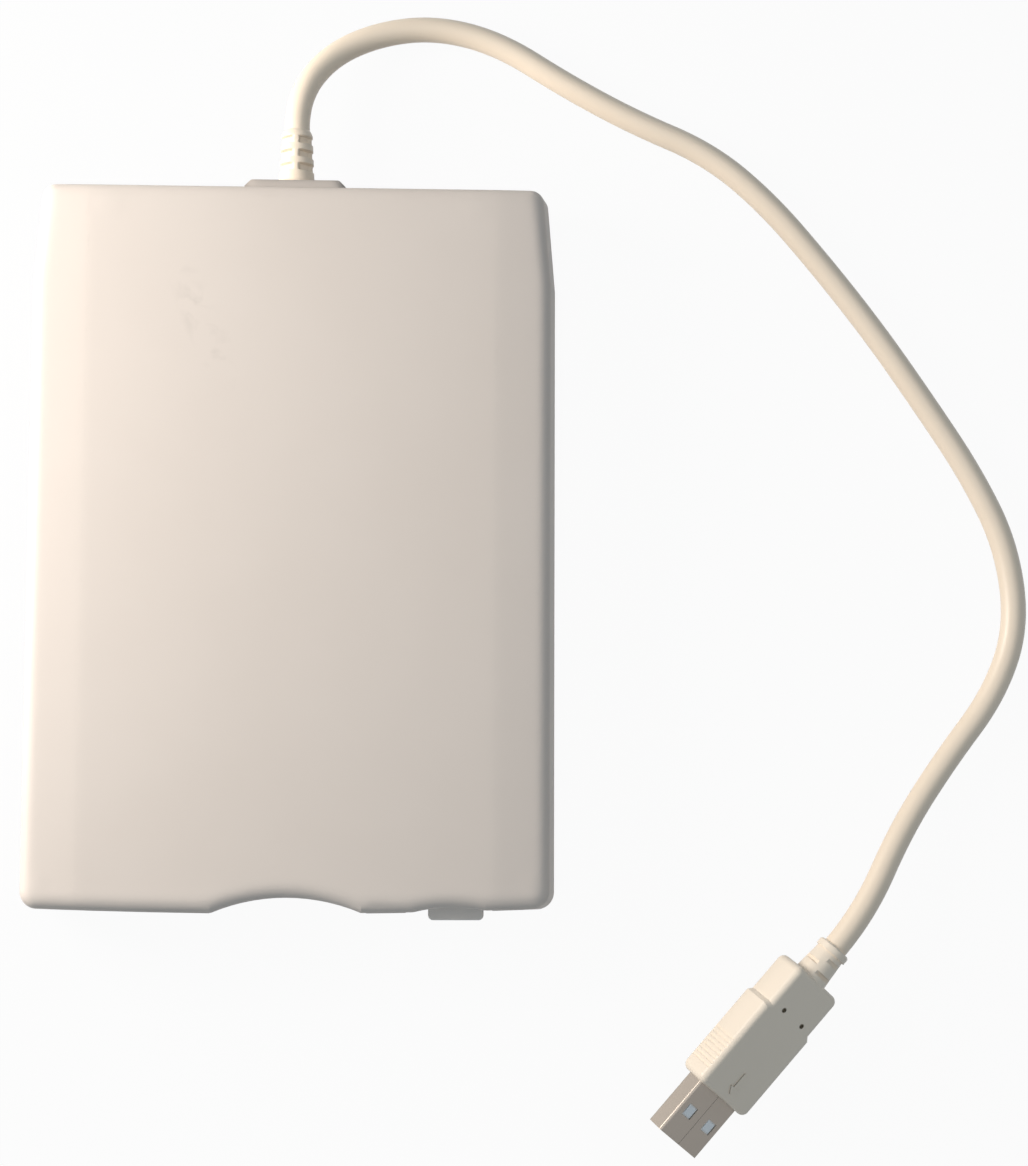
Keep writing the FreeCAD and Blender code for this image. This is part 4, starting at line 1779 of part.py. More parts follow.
def lamp():
    """Indicator lamp behind the light pipe."""
    body = box(
        ("lens_x - 1.5", "lens_end + fit_gap", "board_top"),
        ("lens_x + 1.5", "lens_end + fit_gap + 1.6", "lens_bottom + lens_height"),
    )
    return node(body, "lamp")


SENSORS = [
    ("protect_plunger", "-sensor_x", "sensor_y"),
    ("density_plunger", "sensor_x", "sensor_y"),
    ("disk_in_plunger", "media_sensor_x", "sensor_y"),
]


def disk_sensors():
    """Three small switches whose plungers the loaded disk presses down."""
    housings = []
    for label, x, y in SENSORS:
        low = (f"{x} - sensor_width / 2", f"{y} - sensor_depth / 2", "board_top")
        high = (f"{x} + sensor_width / 2", f"{y} + sensor_depth / 2", "board_top + sensor_height")
        foot = "plunger_top - plunger_length"
        bore = cylinder(
            "z",
            (x, y, f"{foot} - plunger_travel - fit_gap"),
            "plunger_radius + pivot_gap",
            "plunger_length + plunger_travel + 1",
        )
        housings.append(cut(box(low, high), bore))
        node(cylinder("z", (x, y, foot), "plunger_radius", "plunger_length"), label)
    return node(group(*housings), "disk_sensors")


def track_sensor():
    """Light barrier that sees the carriage at the outermost track."""
    body = box(
        ("main_board_inner + 0.5", "carriage_rear + 1.5", "frame_floor"),
        (
            "main_board_inner + 0.5 + track_sensor_width",
            "carriage_rear + 5.5",
            "frame_floor + track_sensor_height",
        ),
    )
    return node(body, "track_sensor")


# Cord, strain relief and plug


def turned(label, profile):
    """A solid of revolution about its own Z axis; the profile is (radius, height) points."""
    body = new_body(label)
    sketch = sketch_on(body, "XZ", "0", polygon(*profile))
    revolution = body.newObject("PartDesign::Revolution", "Revolution")
    revolution.Profile = sketch
    revolution.ReferenceAxis = (sketch, ["V_Axis"])
    revolution.Angle = 360
    body.Tip = revolution
    return body


def strain_relief():
    """Moulded boot: flange inside the wall, neck, and a ribbed taper that ends in a ring."""
    body = turned(
        "strain_relief",
        [
            ("0", "0"),
            ("relief_flange_radius", "0"),
            ("relief_flange_radius", "relief_flange"),
            ("relief_hole_radius", "relief_flange"),
            ("relief_hole_radius", "relief_base - relief_front"),
            ("relief_base_radius", "relief_base - relief_front"),
            ("relief_neck_radius", "relief_base - relief_front + 2"),
            ("relief_end_radius", "relief_end - relief_front - 1"),
            ("relief_end_radius - 0.3", "relief_end - relief_front"),
            ("0", "relief_end - relief_front"),
        ],
    )
    cuts = []
    for side in ("1", "-1"):
        for i in range(int(number("relief_grooves"))):
            start = f"relief_base - relief_front + 2.4 + {i} * relief_groove_pitch"
            near_side = f"({side}) * (cord_radius + 0.1)"
            far_side = f"({side}) * (relief_base_radius + 1)"
            low, high = (near_side, far_side) if side == "1" else (far_side, near_side)
            cuts.append((side, rectangle((low, start), (high, f"{start} + relief_groove_width"))))
    for side in ("1", "-1"):
        sketch = sketch_on(body, "XZ", "0", *[loop for place, loop in cuts if place == side])
        groove = body.newObject("PartDesign::Groove", "Groove")
        groove.Profile = sketch
        groove.ReferenceAxis = (sketch, ["V_Axis"])
        groove.Midplane = True
        groove.setExpression("Angle", formula("relief_groove_angle"))
        body.Tip = groove
    body.Placement = Placement(Vector(), TURN_TO["y"])
    bind(body, y="relief_front", z="parting")
    return body


def cord_wire():
    """The cord's centre line: straight runs joined by arcs as large as the runs allow."""
    heading = math.radians(number("plug_heading"))
    along_plug = Vector(math.cos(heading), math.sin(heading), 0)
    plug_tip = Vector(number("plug_x"), number("plug_y"), number("plug_height"))
    relief_exit = Vector(0, number("relief_end"), number("parting"))
    plug_exit = plug_tip + along_plug * number("plug_end")
    points = [
        relief_exit,
        relief_exit + Vector(0, number("cord_exit_run"), 0),
        *[Vector(*spot) for spot in CORD_ROUTE],
        plug_exit + along_plug * number("cord_plug_run"),
        plug_exit,
    ]
    edges = []
    here = points[0]
    for before, corner, after in zip(points, points[1:], points[2:]):
        back = (before - corner).normalize()
        ahead = (after - corner).normalize()
        turn = math.pi - back.getAngle(ahead)
        reach = 0.45 * min(before.distanceToPoint(corner), after.distanceToPoint(corner))
        radius = reach / math.tan(turn / 2)
        print(f"cord radius {radius:.1f}")
        start = corner + back * reach
        finish = corner + ahead * reach
        inward = (back + ahead).normalize()
        middle = corner + inward * (radius / math.cos(turn / 2) - radius)
        edges.append(Part.LineSegment(here, start).toShape())
        edges.append(Part.Arc(start, middle, finish).toShape())
        here = finish
    edges.append(Part.LineSegment(here, points[-1]).toShape())
    return Part.Wire(edges)


def usb_cord():
    """Round cord from the strain relief to the plug."""
    path = cord_wire()
    radius = number("cord_radius")
    first = path.Edges[0]
    start = first.Vertexes[0].Point
    profile = Part.Wire(Part.makeCircle(radius, start, first.tangentAt(first.FirstParameter)))
    tube = path.makePipeShell([profile], True, True)
    expected = math.pi * radius**2 * path.Length
    print(f"cord length {path.Length:.1f}, volume {tube.Volume:.0f} of {expected:.0f}")
    feature = doc.addObject("Part::Feature", "cord")
    feature.Shape = tube
    return node(feature, "usb_cord")


def lay_plug(thing):
    """Put a piece of the plug, modelled from its tip along +X, where the plug lies."""
    turn = Rotation(Vector(0, 0, 1), number("plug_heading")) * Rotation(Vector(1, 0, 0), number("plug_roll"))
    thing.Placement = Placement(Vector(), turn)
    bind(thing, x="plug_x", y="plug_y", z="plug_height")
    return thing


def plug_overmould():
    """Moulded grip of the plug: rounded all over, stepped in behind its grip ribs."""
    body = doc.addObject("PartDesign::Body", "mould")
    step = "shell_length + mould_front_length"
    wide = "mould_width / 2"
    slim = "mould_width / 2 - mould_step"
    outline = polygon(
        ("shell_length", minus(wide)),
        (step, minus(wide)),
        (f"{step} + mould_step", minus(slim)),
        ("mould_rear", minus(slim)),
        ("mould_rear", slim),
        (f"{step} + mould_step", slim),
        (step, wide),
        ("shell_length", wide),
    )
    pad(body, sketch_on(body, "XY", "-mould_thickness / 2", outline), "mould_thickness")

    def end_corner(edge):
        place = edge.CenterOfMass.x
        return upright(edge) and (near(place, number("shell_length")) or near(place, number("mould_rear")))

    def rim(edge):
        return near(edge.BoundBox.ZLength, 0)

    dress(body, "Fillet", choose=end_corner, Radius="mould_corner")
    dress(body, "Fillet", choose=rim, Radius="mould_edge")
    grooves = []
    for side in ("1", "-1"):
        for i in range(int(number("grip_ribs"))):
            start = f"shell_length + grip_start + {i} * grip_pitch"
            inner = f"({side}) * ({wide} - grip_depth)"
            outer = f"({side}) * ({wide} + 1)"
            low, high = (inner, outer) if side == "1" else (outer, inner)
            grooves.append(rectangle((start, low), (f"{start} + grip_width", high)))
    pocket(body, sketch_on(body, "XY", "mould_thickness", *grooves), "2 * mould_thickness")
    pits = [
        circle(f"{step} + mould_pit_behind", y, "mould_pit_radius")
        for y in ("mould_pit_y", minus("mould_pit_y"))
    ]
    pocket(body, sketch_on(body, "XY", "mould_thickness / 2", *pits), "mould_pit_depth")
    socket = box(
        ("shell_length - 1", "-shell_width / 2", "-shell_thickness / 2"),
        ("shell_length + shell_root", "shell_width / 2", "shell_thickness / 2"),
    )
    return node(lay_plug(cut(fuse(body, plug_relief()), socket)), "plug_overmould")


def plug_relief():
    """Tapered boot behind the grip, slotted on alternate sides, with a ring at its end."""
    boot = doc.addObject("PartDesign::Body", "boot")
    ring_start = "plug_end - plug_relief_ring"
    profile = polygon(
        ("mould_rear - 1", "0"),
        ("mould_rear - 1", "plug_relief_radius"),
        ("mould_rear", "plug_relief_radius"),
        (ring_start, "plug_relief_waist"),
        (ring_start, "plug_relief_radius - 0.1"),
        ("plug_end - 0.3", "plug_relief_radius - 0.1"),
        ("plug_end", "plug_relief_radius - 0.4"),
        ("plug_end", "0"),
    )
    sketch = sketch_on(boot, "XY", "0", profile)
    revolution = boot.newObject("PartDesign::Revolution", "Revolution")
    revolution.Profile = sketch
    revolution.ReferenceAxis = (sketch, ["H_Axis"])
    revolution.Angle = 360
    boot.Tip = revolution
    for i in range(int(number("plug_relief_slots"))):
        plane, height = ("XY", "8") if i % 2 else ("XZ", "8")
        start = f"mould_rear + 0.9 + {i} * plug_relief_pitch"
        both = [
            rectangle((start, low), (f"{start} + plug_relief_slot", high))
            for low, high in (("cord_radius + 0.1", "6"), ("-6", minus("cord_radius + 0.1")))
        ]
        pocket(boot, sketch_on(boot, plane, height, *both), "16")
    return boot


def plug_shell():
    """Folded steel shell with bent edges, a seam and two square holes in each broad side."""
    body = doc.addObject("PartDesign::Body", "shell")
    end = "shell_length + shell_root"

    def tube(inset):
        half_width = f"shell_width / 2 - {inset}"
        half_height = f"shell_thickness / 2 - {inset}"
        return rectangle((minus(half_width), minus(half_height)), (half_width, half_height))

    pad(body, sketch_on(body, "YZ", "0", tube("0")), end)

    def bend(edge):
        return edge.BoundBox.XLength > 0.9 * number(end)

    dress(body, "Fillet", choose=bend, Radius="shell_edge")
    pocket(body, sketch_on(body, "YZ", end, tube("shell_sheet")), end)
    holes = []
    for side in ("1", "-1"):
        middle = f"({side}) * shell_hole_pitch / 2"
        low = ("shell_hole_x", f"{middle} - shell_hole / 2")
        high = ("shell_hole_x + shell_hole", f"{middle} + shell_hole / 2")
        holes.append(rectangle(low, high))
    pocket(body, sketch_on(body, "XY", "shell_thickness", *holes), "2 * shell_thickness")
    seam = rectangle(("-1", "-shell_seam / 2"), (f"{end} + 1", "shell_seam / 2"))
    pocket(body, sketch_on(body, "XY", "shell_thickness", seam), "shell_thickness / 2 + shell_sheet + 0.1")
    return node(lay_plug(group(body)), "plug_shell")


def tongue_face():
    """Height of the tongue's upper side, just under the seamed side of the shell."""
    return "shell_thickness / 2 - shell_sheet - pivot_gap"


def plug_tongue():
    """Insulating tongue under the seamed side of the shell, with a stud in each of its holes."""
    inner = "shell_width / 2 - shell_edge - pivot_gap"
    top = tongue_face()
    plate = box(
        ("tongue_setback", minus(inner), f"{top} - tongue_thickness"),
        ("shell_length + shell_root", inner, top),
    )
    studs = []
    for side in ("1", "-1"):
        middle = f"({side}) * shell_hole_pitch / 2"
        reach = "shell_hole / 2 - tongue_stud_gap"
        low = ("shell_hole_x + tongue_stud_gap", f"{middle} - ({reach})", f"{top} - 0.2")
        rear = "shell_hole_x + shell_hole - tongue_stud_gap"
        studs.append(box(low, (rear, f"{middle} + {reach}", f"{top} + tongue_stud")))
    return node(lay_plug(fuse(plate, *studs)), "plug_tongue")


def plug_contacts():
    """Four sprung contacts on the open side of the tongue."""
    strips = []
    face = f"{tongue_face()} - tongue_thickness"
    for i in range(4):
        middle = f"({i} - 1.5) * contact_pitch"
        strips.append(
            box(
                ("tongue_setback + 0.6", f"{middle} - contact_width / 2", f"{face} - contact_height"),
                ("shell_length", f"{middle} + contact_width / 2", face),
            )
        )
    return node(lay_plug(group(*strips)), "plug_contacts")


def write_parts():
    """Check every object, then write one STEP file for each node."""
    doc.recompute()
    faults = [thing.Label for thing in doc.Objects if {"Invalid", "Error"} & set(thing.State)]
    for label, thing in nodes.items():
        if thing.Shape.isNull() or not thing.Shape.isValid() or not thing.Shape.Solids:
            faults.append(label)
    if faults:
        sys.exit("faulty objects: " + ", ".join(faults))
    os.makedirs("parts", exist_ok=True)
    for label, thing in nodes.items():
        thing.Shape.exportStep(os.path.join("parts", label + ".step"))
    print(f"{len(nodes)} nodes written")


SUBPARTS = (
    top_case,
    bottom_case,
    rubber_feet,
    screws,
    eject_button,
    led_lens,
    slot_flap,
    mechanism_frame,
    mechanism_cover,
    slide_plate,
    disk_carrier,
    carrier_pins,
    shutter_latch,
    latch_rivet,
    slide_springs,
    motor_board,
    spindle_bearing,
    spindle_shaft,
    rotor_cup,
    rotor_magnet,
    chucking_plate,
    drive_pin,
    stator_core,
    stator_coils,
    head_carriage,
    heads,
    upper_head_arm,
    arm_pin,
    guide_rod,
    rod_clips,
    lead_screw,
    screw_bracket,
    stepper_motor,
    boards,
    packages,
    sensor_board,
    lamp,
    disk_sensors,
    track_sensor,
    strain_relief,
    usb_cord,
    plug_overmould,
    plug_shell,
    plug_tongue,
    plug_contacts,
)

for build_subpart in SUBPARTS:
    build_subpart()
write_parts()
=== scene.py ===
import math

import bpy
import numpy as np
from mathutils import Euler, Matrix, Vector


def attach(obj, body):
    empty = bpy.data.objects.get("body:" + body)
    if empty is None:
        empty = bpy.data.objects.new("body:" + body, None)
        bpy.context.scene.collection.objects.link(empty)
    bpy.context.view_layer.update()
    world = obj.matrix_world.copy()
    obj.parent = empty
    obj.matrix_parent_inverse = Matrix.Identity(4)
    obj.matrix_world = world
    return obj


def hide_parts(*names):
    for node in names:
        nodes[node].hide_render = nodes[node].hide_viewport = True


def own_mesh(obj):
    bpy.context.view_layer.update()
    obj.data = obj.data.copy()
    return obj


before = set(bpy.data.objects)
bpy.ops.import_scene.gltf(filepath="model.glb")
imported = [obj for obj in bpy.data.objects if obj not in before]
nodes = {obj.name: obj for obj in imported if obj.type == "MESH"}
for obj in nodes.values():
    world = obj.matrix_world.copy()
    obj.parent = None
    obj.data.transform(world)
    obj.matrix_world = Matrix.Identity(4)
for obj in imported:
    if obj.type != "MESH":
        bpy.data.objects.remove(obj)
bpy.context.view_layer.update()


# Camera and light. The drive lies flat on a pale table and is seen from almost straight above.
# Daylight comes from a window on the left, and the room fills the right side faintly. What is
# seen behind the drive is plain white.

lean_back, lean_side, twist = 5.184, -2.351, 0.188
camera = bpy.data.objects.new("camera", bpy.data.cameras.new("camera"))
camera.location = (0.02576, -0.04713, 0.45573)
camera.rotation_euler = Euler([math.radians(angle) for angle in (lean_back, lean_side, twist)], "XYZ")
camera.data.lens = 69.78
camera.data.sensor_width = 36.0
camera.data.clip_start = 0.01
bpy.context.scene.collection.objects.link(camera)
bpy.context.scene.camera = camera
bpy.context.scene.view_settings.view_transform = "Standard"


def area_lamp(name, place, aim, size, power, colour):
    """A square soft lamp at a place, turned so that it faces the aim point."""
    lamp = bpy.data.lights.new(name, "AREA")
    lamp.size = size
    lamp.energy = power
    lamp.color = colour
    thing = bpy.data.objects.new(name, lamp)
    thing.location = place
    thing.rotation_euler = (Vector(aim) - Vector(place)).to_track_quat("-Z", "Y").to_euler()
    bpy.context.scene.collection.objects.link(thing)


area_lamp(
    "window_light",
    place=(-0.255, 0.08, 0.14),
    aim=(0.03, 0.0, 0.01),
    size=0.16,
    power=1.5,
    colour=(1.0, 0.935, 0.87),
)
area_lamp(
    "top_fill",
    place=(0.05, 0.1, 1.3),
    aim=(0.03, 0.0, 0.0),
    size=1.1,
    power=3.4,
    colour=(1.0, 0.98, 0.95),
)


def feed(tree, node, inputs):
    """Fill a node's inputs: one given as a socket is linked, and any other holds its value."""
    for socket, value in inputs.items():
        if isinstance(value, bpy.types.NodeSocket):
            tree.links.new(value, node.inputs[socket])
        else:
            node.inputs[socket].default_value = value


def add_node(tree, kind, inputs=None, **settings):
    """A new node with its settings made and its inputs filled."""
    node = tree.nodes.new(kind)
    for setting, value in settings.items():
        setattr(node, setting, value)
    feed(tree, node, inputs or {})
    return node


def maths(tree, operation, *values):
    """The result of a Math node whose inputs are given in order."""
    return add_node(tree, "ShaderNodeMath", dict(enumerate(values)), operation=operation).outputs[0]


def backdrop_rays(tree):
    """1 on the rays that show a backdrop: those of the camera, off gloss and through glass."""
    path = add_node(tree, "ShaderNodeLightPath")
    seen = maths(tree, "MAXIMUM", path.outputs["Is Camera Ray"], path.outputs["Is Glossy Ray"])
    return maths(tree, "MAXIMUM", seen, path.outputs["Is Transmission Ray"])


world = bpy.data.worlds.new("room")
world.use_nodes = True
bpy.context.scene.world = world
sky = world.node_tree
sky.nodes.clear()
room = add_node(sky, "ShaderNodeBackground", {"Color": (0.66, 0.84, 0.99, 1), "Strength": 0.27})
backdrop = add_node(sky, "ShaderNodeBackground", {"Color": (1, 1, 1, 1), "Strength": 1.0})
choose = add_node(
    sky,
    "ShaderNodeMixShader",
    {"Fac": backdrop_rays(sky), 1: room.outputs["Background"], 2: backdrop.outputs["Background"]},
)
add_node(sky, "ShaderNodeOutputWorld", {"Surface": choose.outputs["Shader"]})


# Table. A plain white surface that keeps the soft shadow of the drive. Its underside is clear, so
# that the bottom of the drive can be looked at from below.


def table_white():
    """White towards the eye but for a small matt part, which takes the shadow, and clear below."""
    look = bpy.data.materials.new("table_white")
    look.use_nodes = True
    tree = look.node_tree
    tree.nodes.clear()
    matt = add_node(tree, "ShaderNodeBsdfDiffuse", {"Color": (0.5, 0.5, 0.5, 1)})
    glow = add_node(tree, "ShaderNodeEmission", {"Color": (1, 1, 1, 1)})
    white_part = maths(tree, "MULTIPLY", backdrop_rays(tree), 0.95)
    top = add_node(
        tree,
        "ShaderNodeMixShader",
        {"Fac": white_part, 1: matt.outputs["BSDF"], 2: glow.outputs["Emission"]},
    )
    underside = add_node(tree, "ShaderNodeNewGeometry").outputs["Backfacing"]
    clear = add_node(tree, "ShaderNodeBsdfTransparent")
    both = add_node(
        tree,
        "ShaderNodeMixShader",
        {"Fac": underside, 1: top.outputs["Shader"], 2: clear.outputs["BSDF"]},
    )
    add_node(tree, "ShaderNodeOutputMaterial", {"Surface": both.outputs["Shader"]})
    return look


half_width, below_feet = 3.0, 0.0001
signs = ((-1, -1), (1, -1), (1, 1), (-1, 1))
table_corners = [(half_width * x, half_width * y, -below_feet) for x, y in signs]
table_mesh = bpy.data.meshes.new("table")
table_mesh.from_pydata(table_corners, [], [(0, 1, 2, 3)])
table = bpy.data.objects.new("table", table_mesh)
bpy.context.scene.collection.objects.link(table)
table_mesh.materials.append(table_white())


# Case shells. Top and bottom are injection moulded in a warm light grey plastic with a fine
# spark-eroded texture. The top shell snaps over the lips of the bottom one.


def new_group(name, given, results):
    """An empty node group with its named inputs and outputs, each name with its kind of socket."""
    group = bpy.data.node_groups.new(name, "ShaderNodeTree")
    for side, sockets in (("INPUT", given), ("OUTPUT", results)):
        for socket, kind in sockets.items():
            group.interface.new_socket(socket, in_out=side, socket_type="NodeSocket" + kind)
    return group


def grain_group():
    """Fine moulded texture: two sizes of noise give a height, and a slow one gives a tint mask."""
    group = new_group(
        "moulded_grain",
        {"Vector": "Vector", "Scale": "Float", "Depth": "Float"},
        {"Normal": "Vector", "Grain": "Float", "Patches": "Float"},
    )
    given = add_node(group, "NodeGroupInput").outputs
    place = given["Vector"]
    sharp_noise = {"Vector": place, "Scale": given["Scale"], "Detail": 2.0, "Roughness": 0.6}
    fine = add_node(group, "ShaderNodeTexNoise", sharp_noise).outputs["Fac"]
    slow = add_node(group, "ShaderNodeTexNoise", {"Vector": place, "Scale": 38.0, "Detail": 4.0})
    peel = add_node(group, "ShaderNodeTexNoise", {"Vector": place, "Scale": 700.0, "Detail": 1.0})
    height = maths(group, "MULTIPLY_ADD", peel.outputs["Fac"], 1.2, fine)
    relief = {"Height": height, "Strength": given["Depth"], "Distance": 0.0002}
    bump = add_node(group, "ShaderNodeBump", relief)
    results = {"Normal": bump.outputs["Normal"], "Grain": fine, "Patches": slow.outputs["Fac"]}
    add_node(group, "NodeGroupOutput", results)
    return group


moulded_grain = grain_group()


def new_finish(name):
    """A material with its main shader and a Texture Coordinate node."""
    look = bpy.data.materials.new(name)
    look.use_nodes = True
    add_node(look.node_tree, "ShaderNodeTexCoord")
    return look


def parts_of(look):
    """A finish's node tree, its main shader and its Object coordinates."""
    tree = look.node_tree
    place = next(node for node in tree.nodes if node.bl_idname == "ShaderNodeTexCoord")
    return tree, tree.nodes["Principled BSDF"], place.outputs["Object"]


def remap(tree, value, low=0.0, high=1.0, to_low=0.0, to_high=1.0):
    """A value taken from one range to another, and held within it."""
    ends = {"From Min": low, "From Max": high, "To Min": to_low, "To Max": to_high}
    return add_node(tree, "ShaderNodeMapRange", {"Value": value, **ends}).outputs["Result"]


def mix_colours(tree, mask, plain, marked):
    """One colour, and another where the mask is 1."""
    inputs = {0: mask, 6: plain, 7: marked}
    return add_node(tree, "ShaderNodeMix", inputs, data_type="RGBA").outputs[2]


def add_grain(look, place, scale, depth, tints, roughness, spread):
    """Feed a finish from the grain: a tint between two stops, its roughness and its bumps."""
    tree, shader, _ = parts_of(look)
    inputs = {"Vector": place, "Scale": scale, "Depth": depth}
    grain = add_node(tree, "ShaderNodeGroup", inputs, node_tree=moulded_grain).outputs
    tint = add_node(tree, "ShaderNodeValToRGB", {"Fac": grain["Patches"]})
    for stop, (position, colour) in zip(tint.color_ramp.elements, tints):
        stop.position = position
        stop.color = (*colour, 1)
    shine = remap(tree, grain["Grain"], to_low=roughness - spread, to_high=roughness + spread)
    finish = {"Base Color": tint.outputs["Color"], "Roughness": shine, "Normal": grain["Normal"]}
    feed(tree, shader, finish)


def moulded(name, dark, light, roughness, scale=2600.0, depth=0.12):
    """Moulded plastic or rubber: two near tints in slow patches under a fine grain."""
    look = new_finish(name)
    _, _, place = parts_of(look)
    add_grain(look, place, scale, depth, ((0.35, dark), (0.65, light)), roughness, 0.05)
    return look


def wear_and_seam_shade_group():
    """Painted shade in a thin line where the shells meet, and a slanting streak of faint scuffs on the lid.
    """
    group = new_group("case_wear_and_seam_shade", {"Vector": "Vector", "Color": "Color"}, {"Color": "Color"})
    given = add_node(group, "NodeGroupInput").outputs
    place = given["Vector"]
    parting, half_line = 0.0094, 0.00012
    height = add_node(group, "ShaderNodeSeparateXYZ", {0: place}).outputs["Z"]
    # Painted shade: a thin dark line at the parting height stands for the shadow in the groove between the
    # shells.
    seam = maths(group, "COMPARE", height, parting, half_line)
    noise = {"Vector": place, "Scale": 210.0, "Detail": 3.0, "Distortion": 0.5}
    scratches = add_node(group, "ShaderNodeTexNoise", noise).outputs["Fac"]
    streak_shape = {
        "Vector": place,
        "Location": (-0.0175, 0.044, 0.018),
        "Rotation": (0, 0, math.radians(-67)),
        "Scale": (0.016, 0.0042, 0.003),
    }
    streak = add_node(group, "ShaderNodeMapping", streak_shape, vector_type="TEXTURE")
    from_middle = {0: streak.outputs["Vector"]}
    away = add_node(group, "ShaderNodeVectorMath", from_middle, operation="LENGTH").outputs["Value"]
    thin = remap(group, scratches, 0.50, 0.72)
    near = remap(group, away, 1.0, 0.3)
    scuffs = maths(group, "MULTIPLY", maths(group, "MULTIPLY", thin, near), 0.17)
    # The scuffs are real marks on the lid. The dark line at the parting height is painted shade.
    wear_and_seam_shade = maths(group, "MULTIPLY_ADD", seam, 0.55, scuffs)
    worn_and_seam_shaded = mix_colours(group, wear_and_seam_shade, given["Color"], (0.16, 0.145, 0.13, 1))
    add_node(group, "NodeGroupOutput", {"Color": worn_and_seam_shaded})
    return group


case_wear_and_seam_shade = wear_and_seam_shade_group()


def case_with_wear_and_seam_shade(look):
    """Pass a case shell's tint through its scuffs and painted seam shade, and blend the low creases of its
    top face.
    """
    tree, shader, place = parts_of(look)
    tint = shader.inputs["Base Color"].links[0].from_socket
    wear_and_seam_shade = add_node(tree, "ShaderNodeGroup", {"Vector": place, "Color": tint}, node_tree=case_wear_and_seam_shade)
    soften = add_node(tree, "ShaderNodeBevel", {"Radius": 0.0032}, samples=8)
    unbent = add_node(tree, "ShaderNodeNewGeometry").outputs["Normal"]
    upwards = add_node(tree, "ShaderNodeSeparateXYZ", {0: unbent}).outputs["Z"]
    grained = shader.inputs["Normal"].links[0].from_socket
    normals = {0: remap(tree, upwards, 0.85, 0.97), 4: grained, 5: soften.outputs["Normal"]}
    blend = add_node(tree, "ShaderNodeMix", normals, data_type="VECTOR")
    feed(tree, shader, {"Base Color": wear_and_seam_shade.outputs["Color"], "Normal": blend.outputs[1]})
    return look


def paint(look, *names):
    """Give CAD nodes their finish."""
    for name in names:
        mesh = nodes[name].data
        mesh.materials.clear()
        mesh.materials.append(look)


lid_plastic = moulded("case_plastic", (0.655, 0.583, 0.524), (0.668, 0.596, 0.537), 0.55, depth=0.06)
base_plastic = moulded("base_plastic", (0.645, 0.574, 0.515), (0.66, 0.588, 0.528), 0.58, depth=0.06)
paint(case_with_wear_and_seam_shade(lid_plastic), "top_case")
paint(case_with_wear_and_seam_shade(base_plastic), "bottom_case")


# Feet and screws underneath. Four soft rubber pads are glued into round seats, and six zinc
# plated screws hold the mechanism and the rear of the case.


def metal(name, colour, roughness, streak=0.0, bare=1.0):
    """Bare or plated metal; streak stretches the grain along x as rolling does.

    bare is 1 for bright metal and less where a dull film of scuffing and oxide lies on it.
    """
    look = new_finish(name)
    tree, shader, place = parts_of(look)
    feed(tree, shader, {"Metallic": bare})
    rolled = {"Vector": place, "Scale": (1.0 - 0.95 * streak, 1.0, 1.0)}
    stretched = add_node(tree, "ShaderNodeMapping", rolled).outputs["Vector"]
    dull = [part * 0.9 for part in colour]
    add_grain(look, stretched, 3000.0, 0.012, ((0.3, dull), (0.7, colour)), roughness, 0.04)
    return look


def surface_piece(name, grids, look, sharp_angle=None):
    """A piece in millimetres made of closed tubes, one from each grid of points.

    A grid has its rows along the tube and closes round it, so that four neighbours make a face,
    and its first and last rows are closed by one flat face each.
    """
    points, faces = [], []
    for grid in grids:
        rows, turns = grid.shape[:2]
        i, j = np.meshgrid(np.arange(rows - 1), np.arange(turns), indexing="ij")
        k = (j + 1) % turns
        quads = np.stack([i * turns + j, i * turns + k, (i + 1) * turns + k, (i + 1) * turns + j], -1)
        ends = [np.arange(turns)[::-1], np.arange(turns) + (rows - 1) * turns]
        first = rows * turns * len(points)
        faces += (quads.reshape(-1, 4) + first).tolist()
        faces += [(end + first).tolist() for end in ends]
        points.append(grid.reshape(-1, 3))
    mesh = bpy.data.meshes.new(name)
    mesh.from_pydata((np.vstack(points) / 1000).tolist(), [], faces)
    mesh.update()
    mesh.materials.append(look)
    mesh.shade_smooth()
    if sharp_angle:
        mesh.set_sharp_from_angle(angle=math.radians(sharp_angle))
    thing = bpy.data.objects.new(name, mesh)
    bpy.context.scene.collection.objects.link(thing)
    return thing


def screws(name, spots, shank, foot, tip):
    """Pan head screws, heads down, each one lathed round its axis with a cross recess.

    A profile of (radius, height) runs over the face of the head, up its rounded rim, under the
    head and along the shank to a blunt point. Over the face the height gains the recess's depth
    inside a cross of two arms, whose sides and ends slope.
    """
    face_radius, rim_round, head_height, point_height = 1.65, 0.25, 1.0, 0.5
    half_arm, side_slope, arm_reach, end_slope, recess_depth = 0.28, 0.09, 1.15, 0.15, 0.6
    face_centre, point_centre = 0.02, 0.01
    face = np.linspace(face_centre, face_radius, 30)
    rim = np.linspace(0.1, 1.0, 5) * math.pi / 2
    shank_radii = [face_radius + rim_round, shank, shank, shank * 0.5, point_centre]
    shank_heights = [foot + head_height, foot + head_height, tip - point_height, tip, tip]
    radius = np.concatenate([face, face_radius + rim_round * np.sin(rim), shank_radii])
    rim_heights = foot + rim_round * (1 - np.cos(rim))
    height = np.concatenate([np.full(face.shape, foot), rim_heights, shank_heights])
    angle = np.linspace(0, 2 * math.pi, 96, endpoint=False)
    r, a = np.meshgrid(radius, angle, indexing="ij")
    x, y = r * np.cos(a), r * np.sin(a)
    off_arm = np.minimum(abs(x), abs(y))
    along_arm = np.maximum(abs(x), abs(y))
    pit = np.clip((half_arm - off_arm) / side_slope, 0, 1)
    pit = pit * np.clip((arm_reach - along_arm) / end_slope, 0, 1) * recess_depth
    on_face = (np.arange(len(radius)) < len(face))[:, None]
    one = np.stack([x, y, height[:, None] + pit * on_face], axis=-1)
    return surface_piece(name, [one + (across, along, 0) for across, along in spots], zinc, 40)


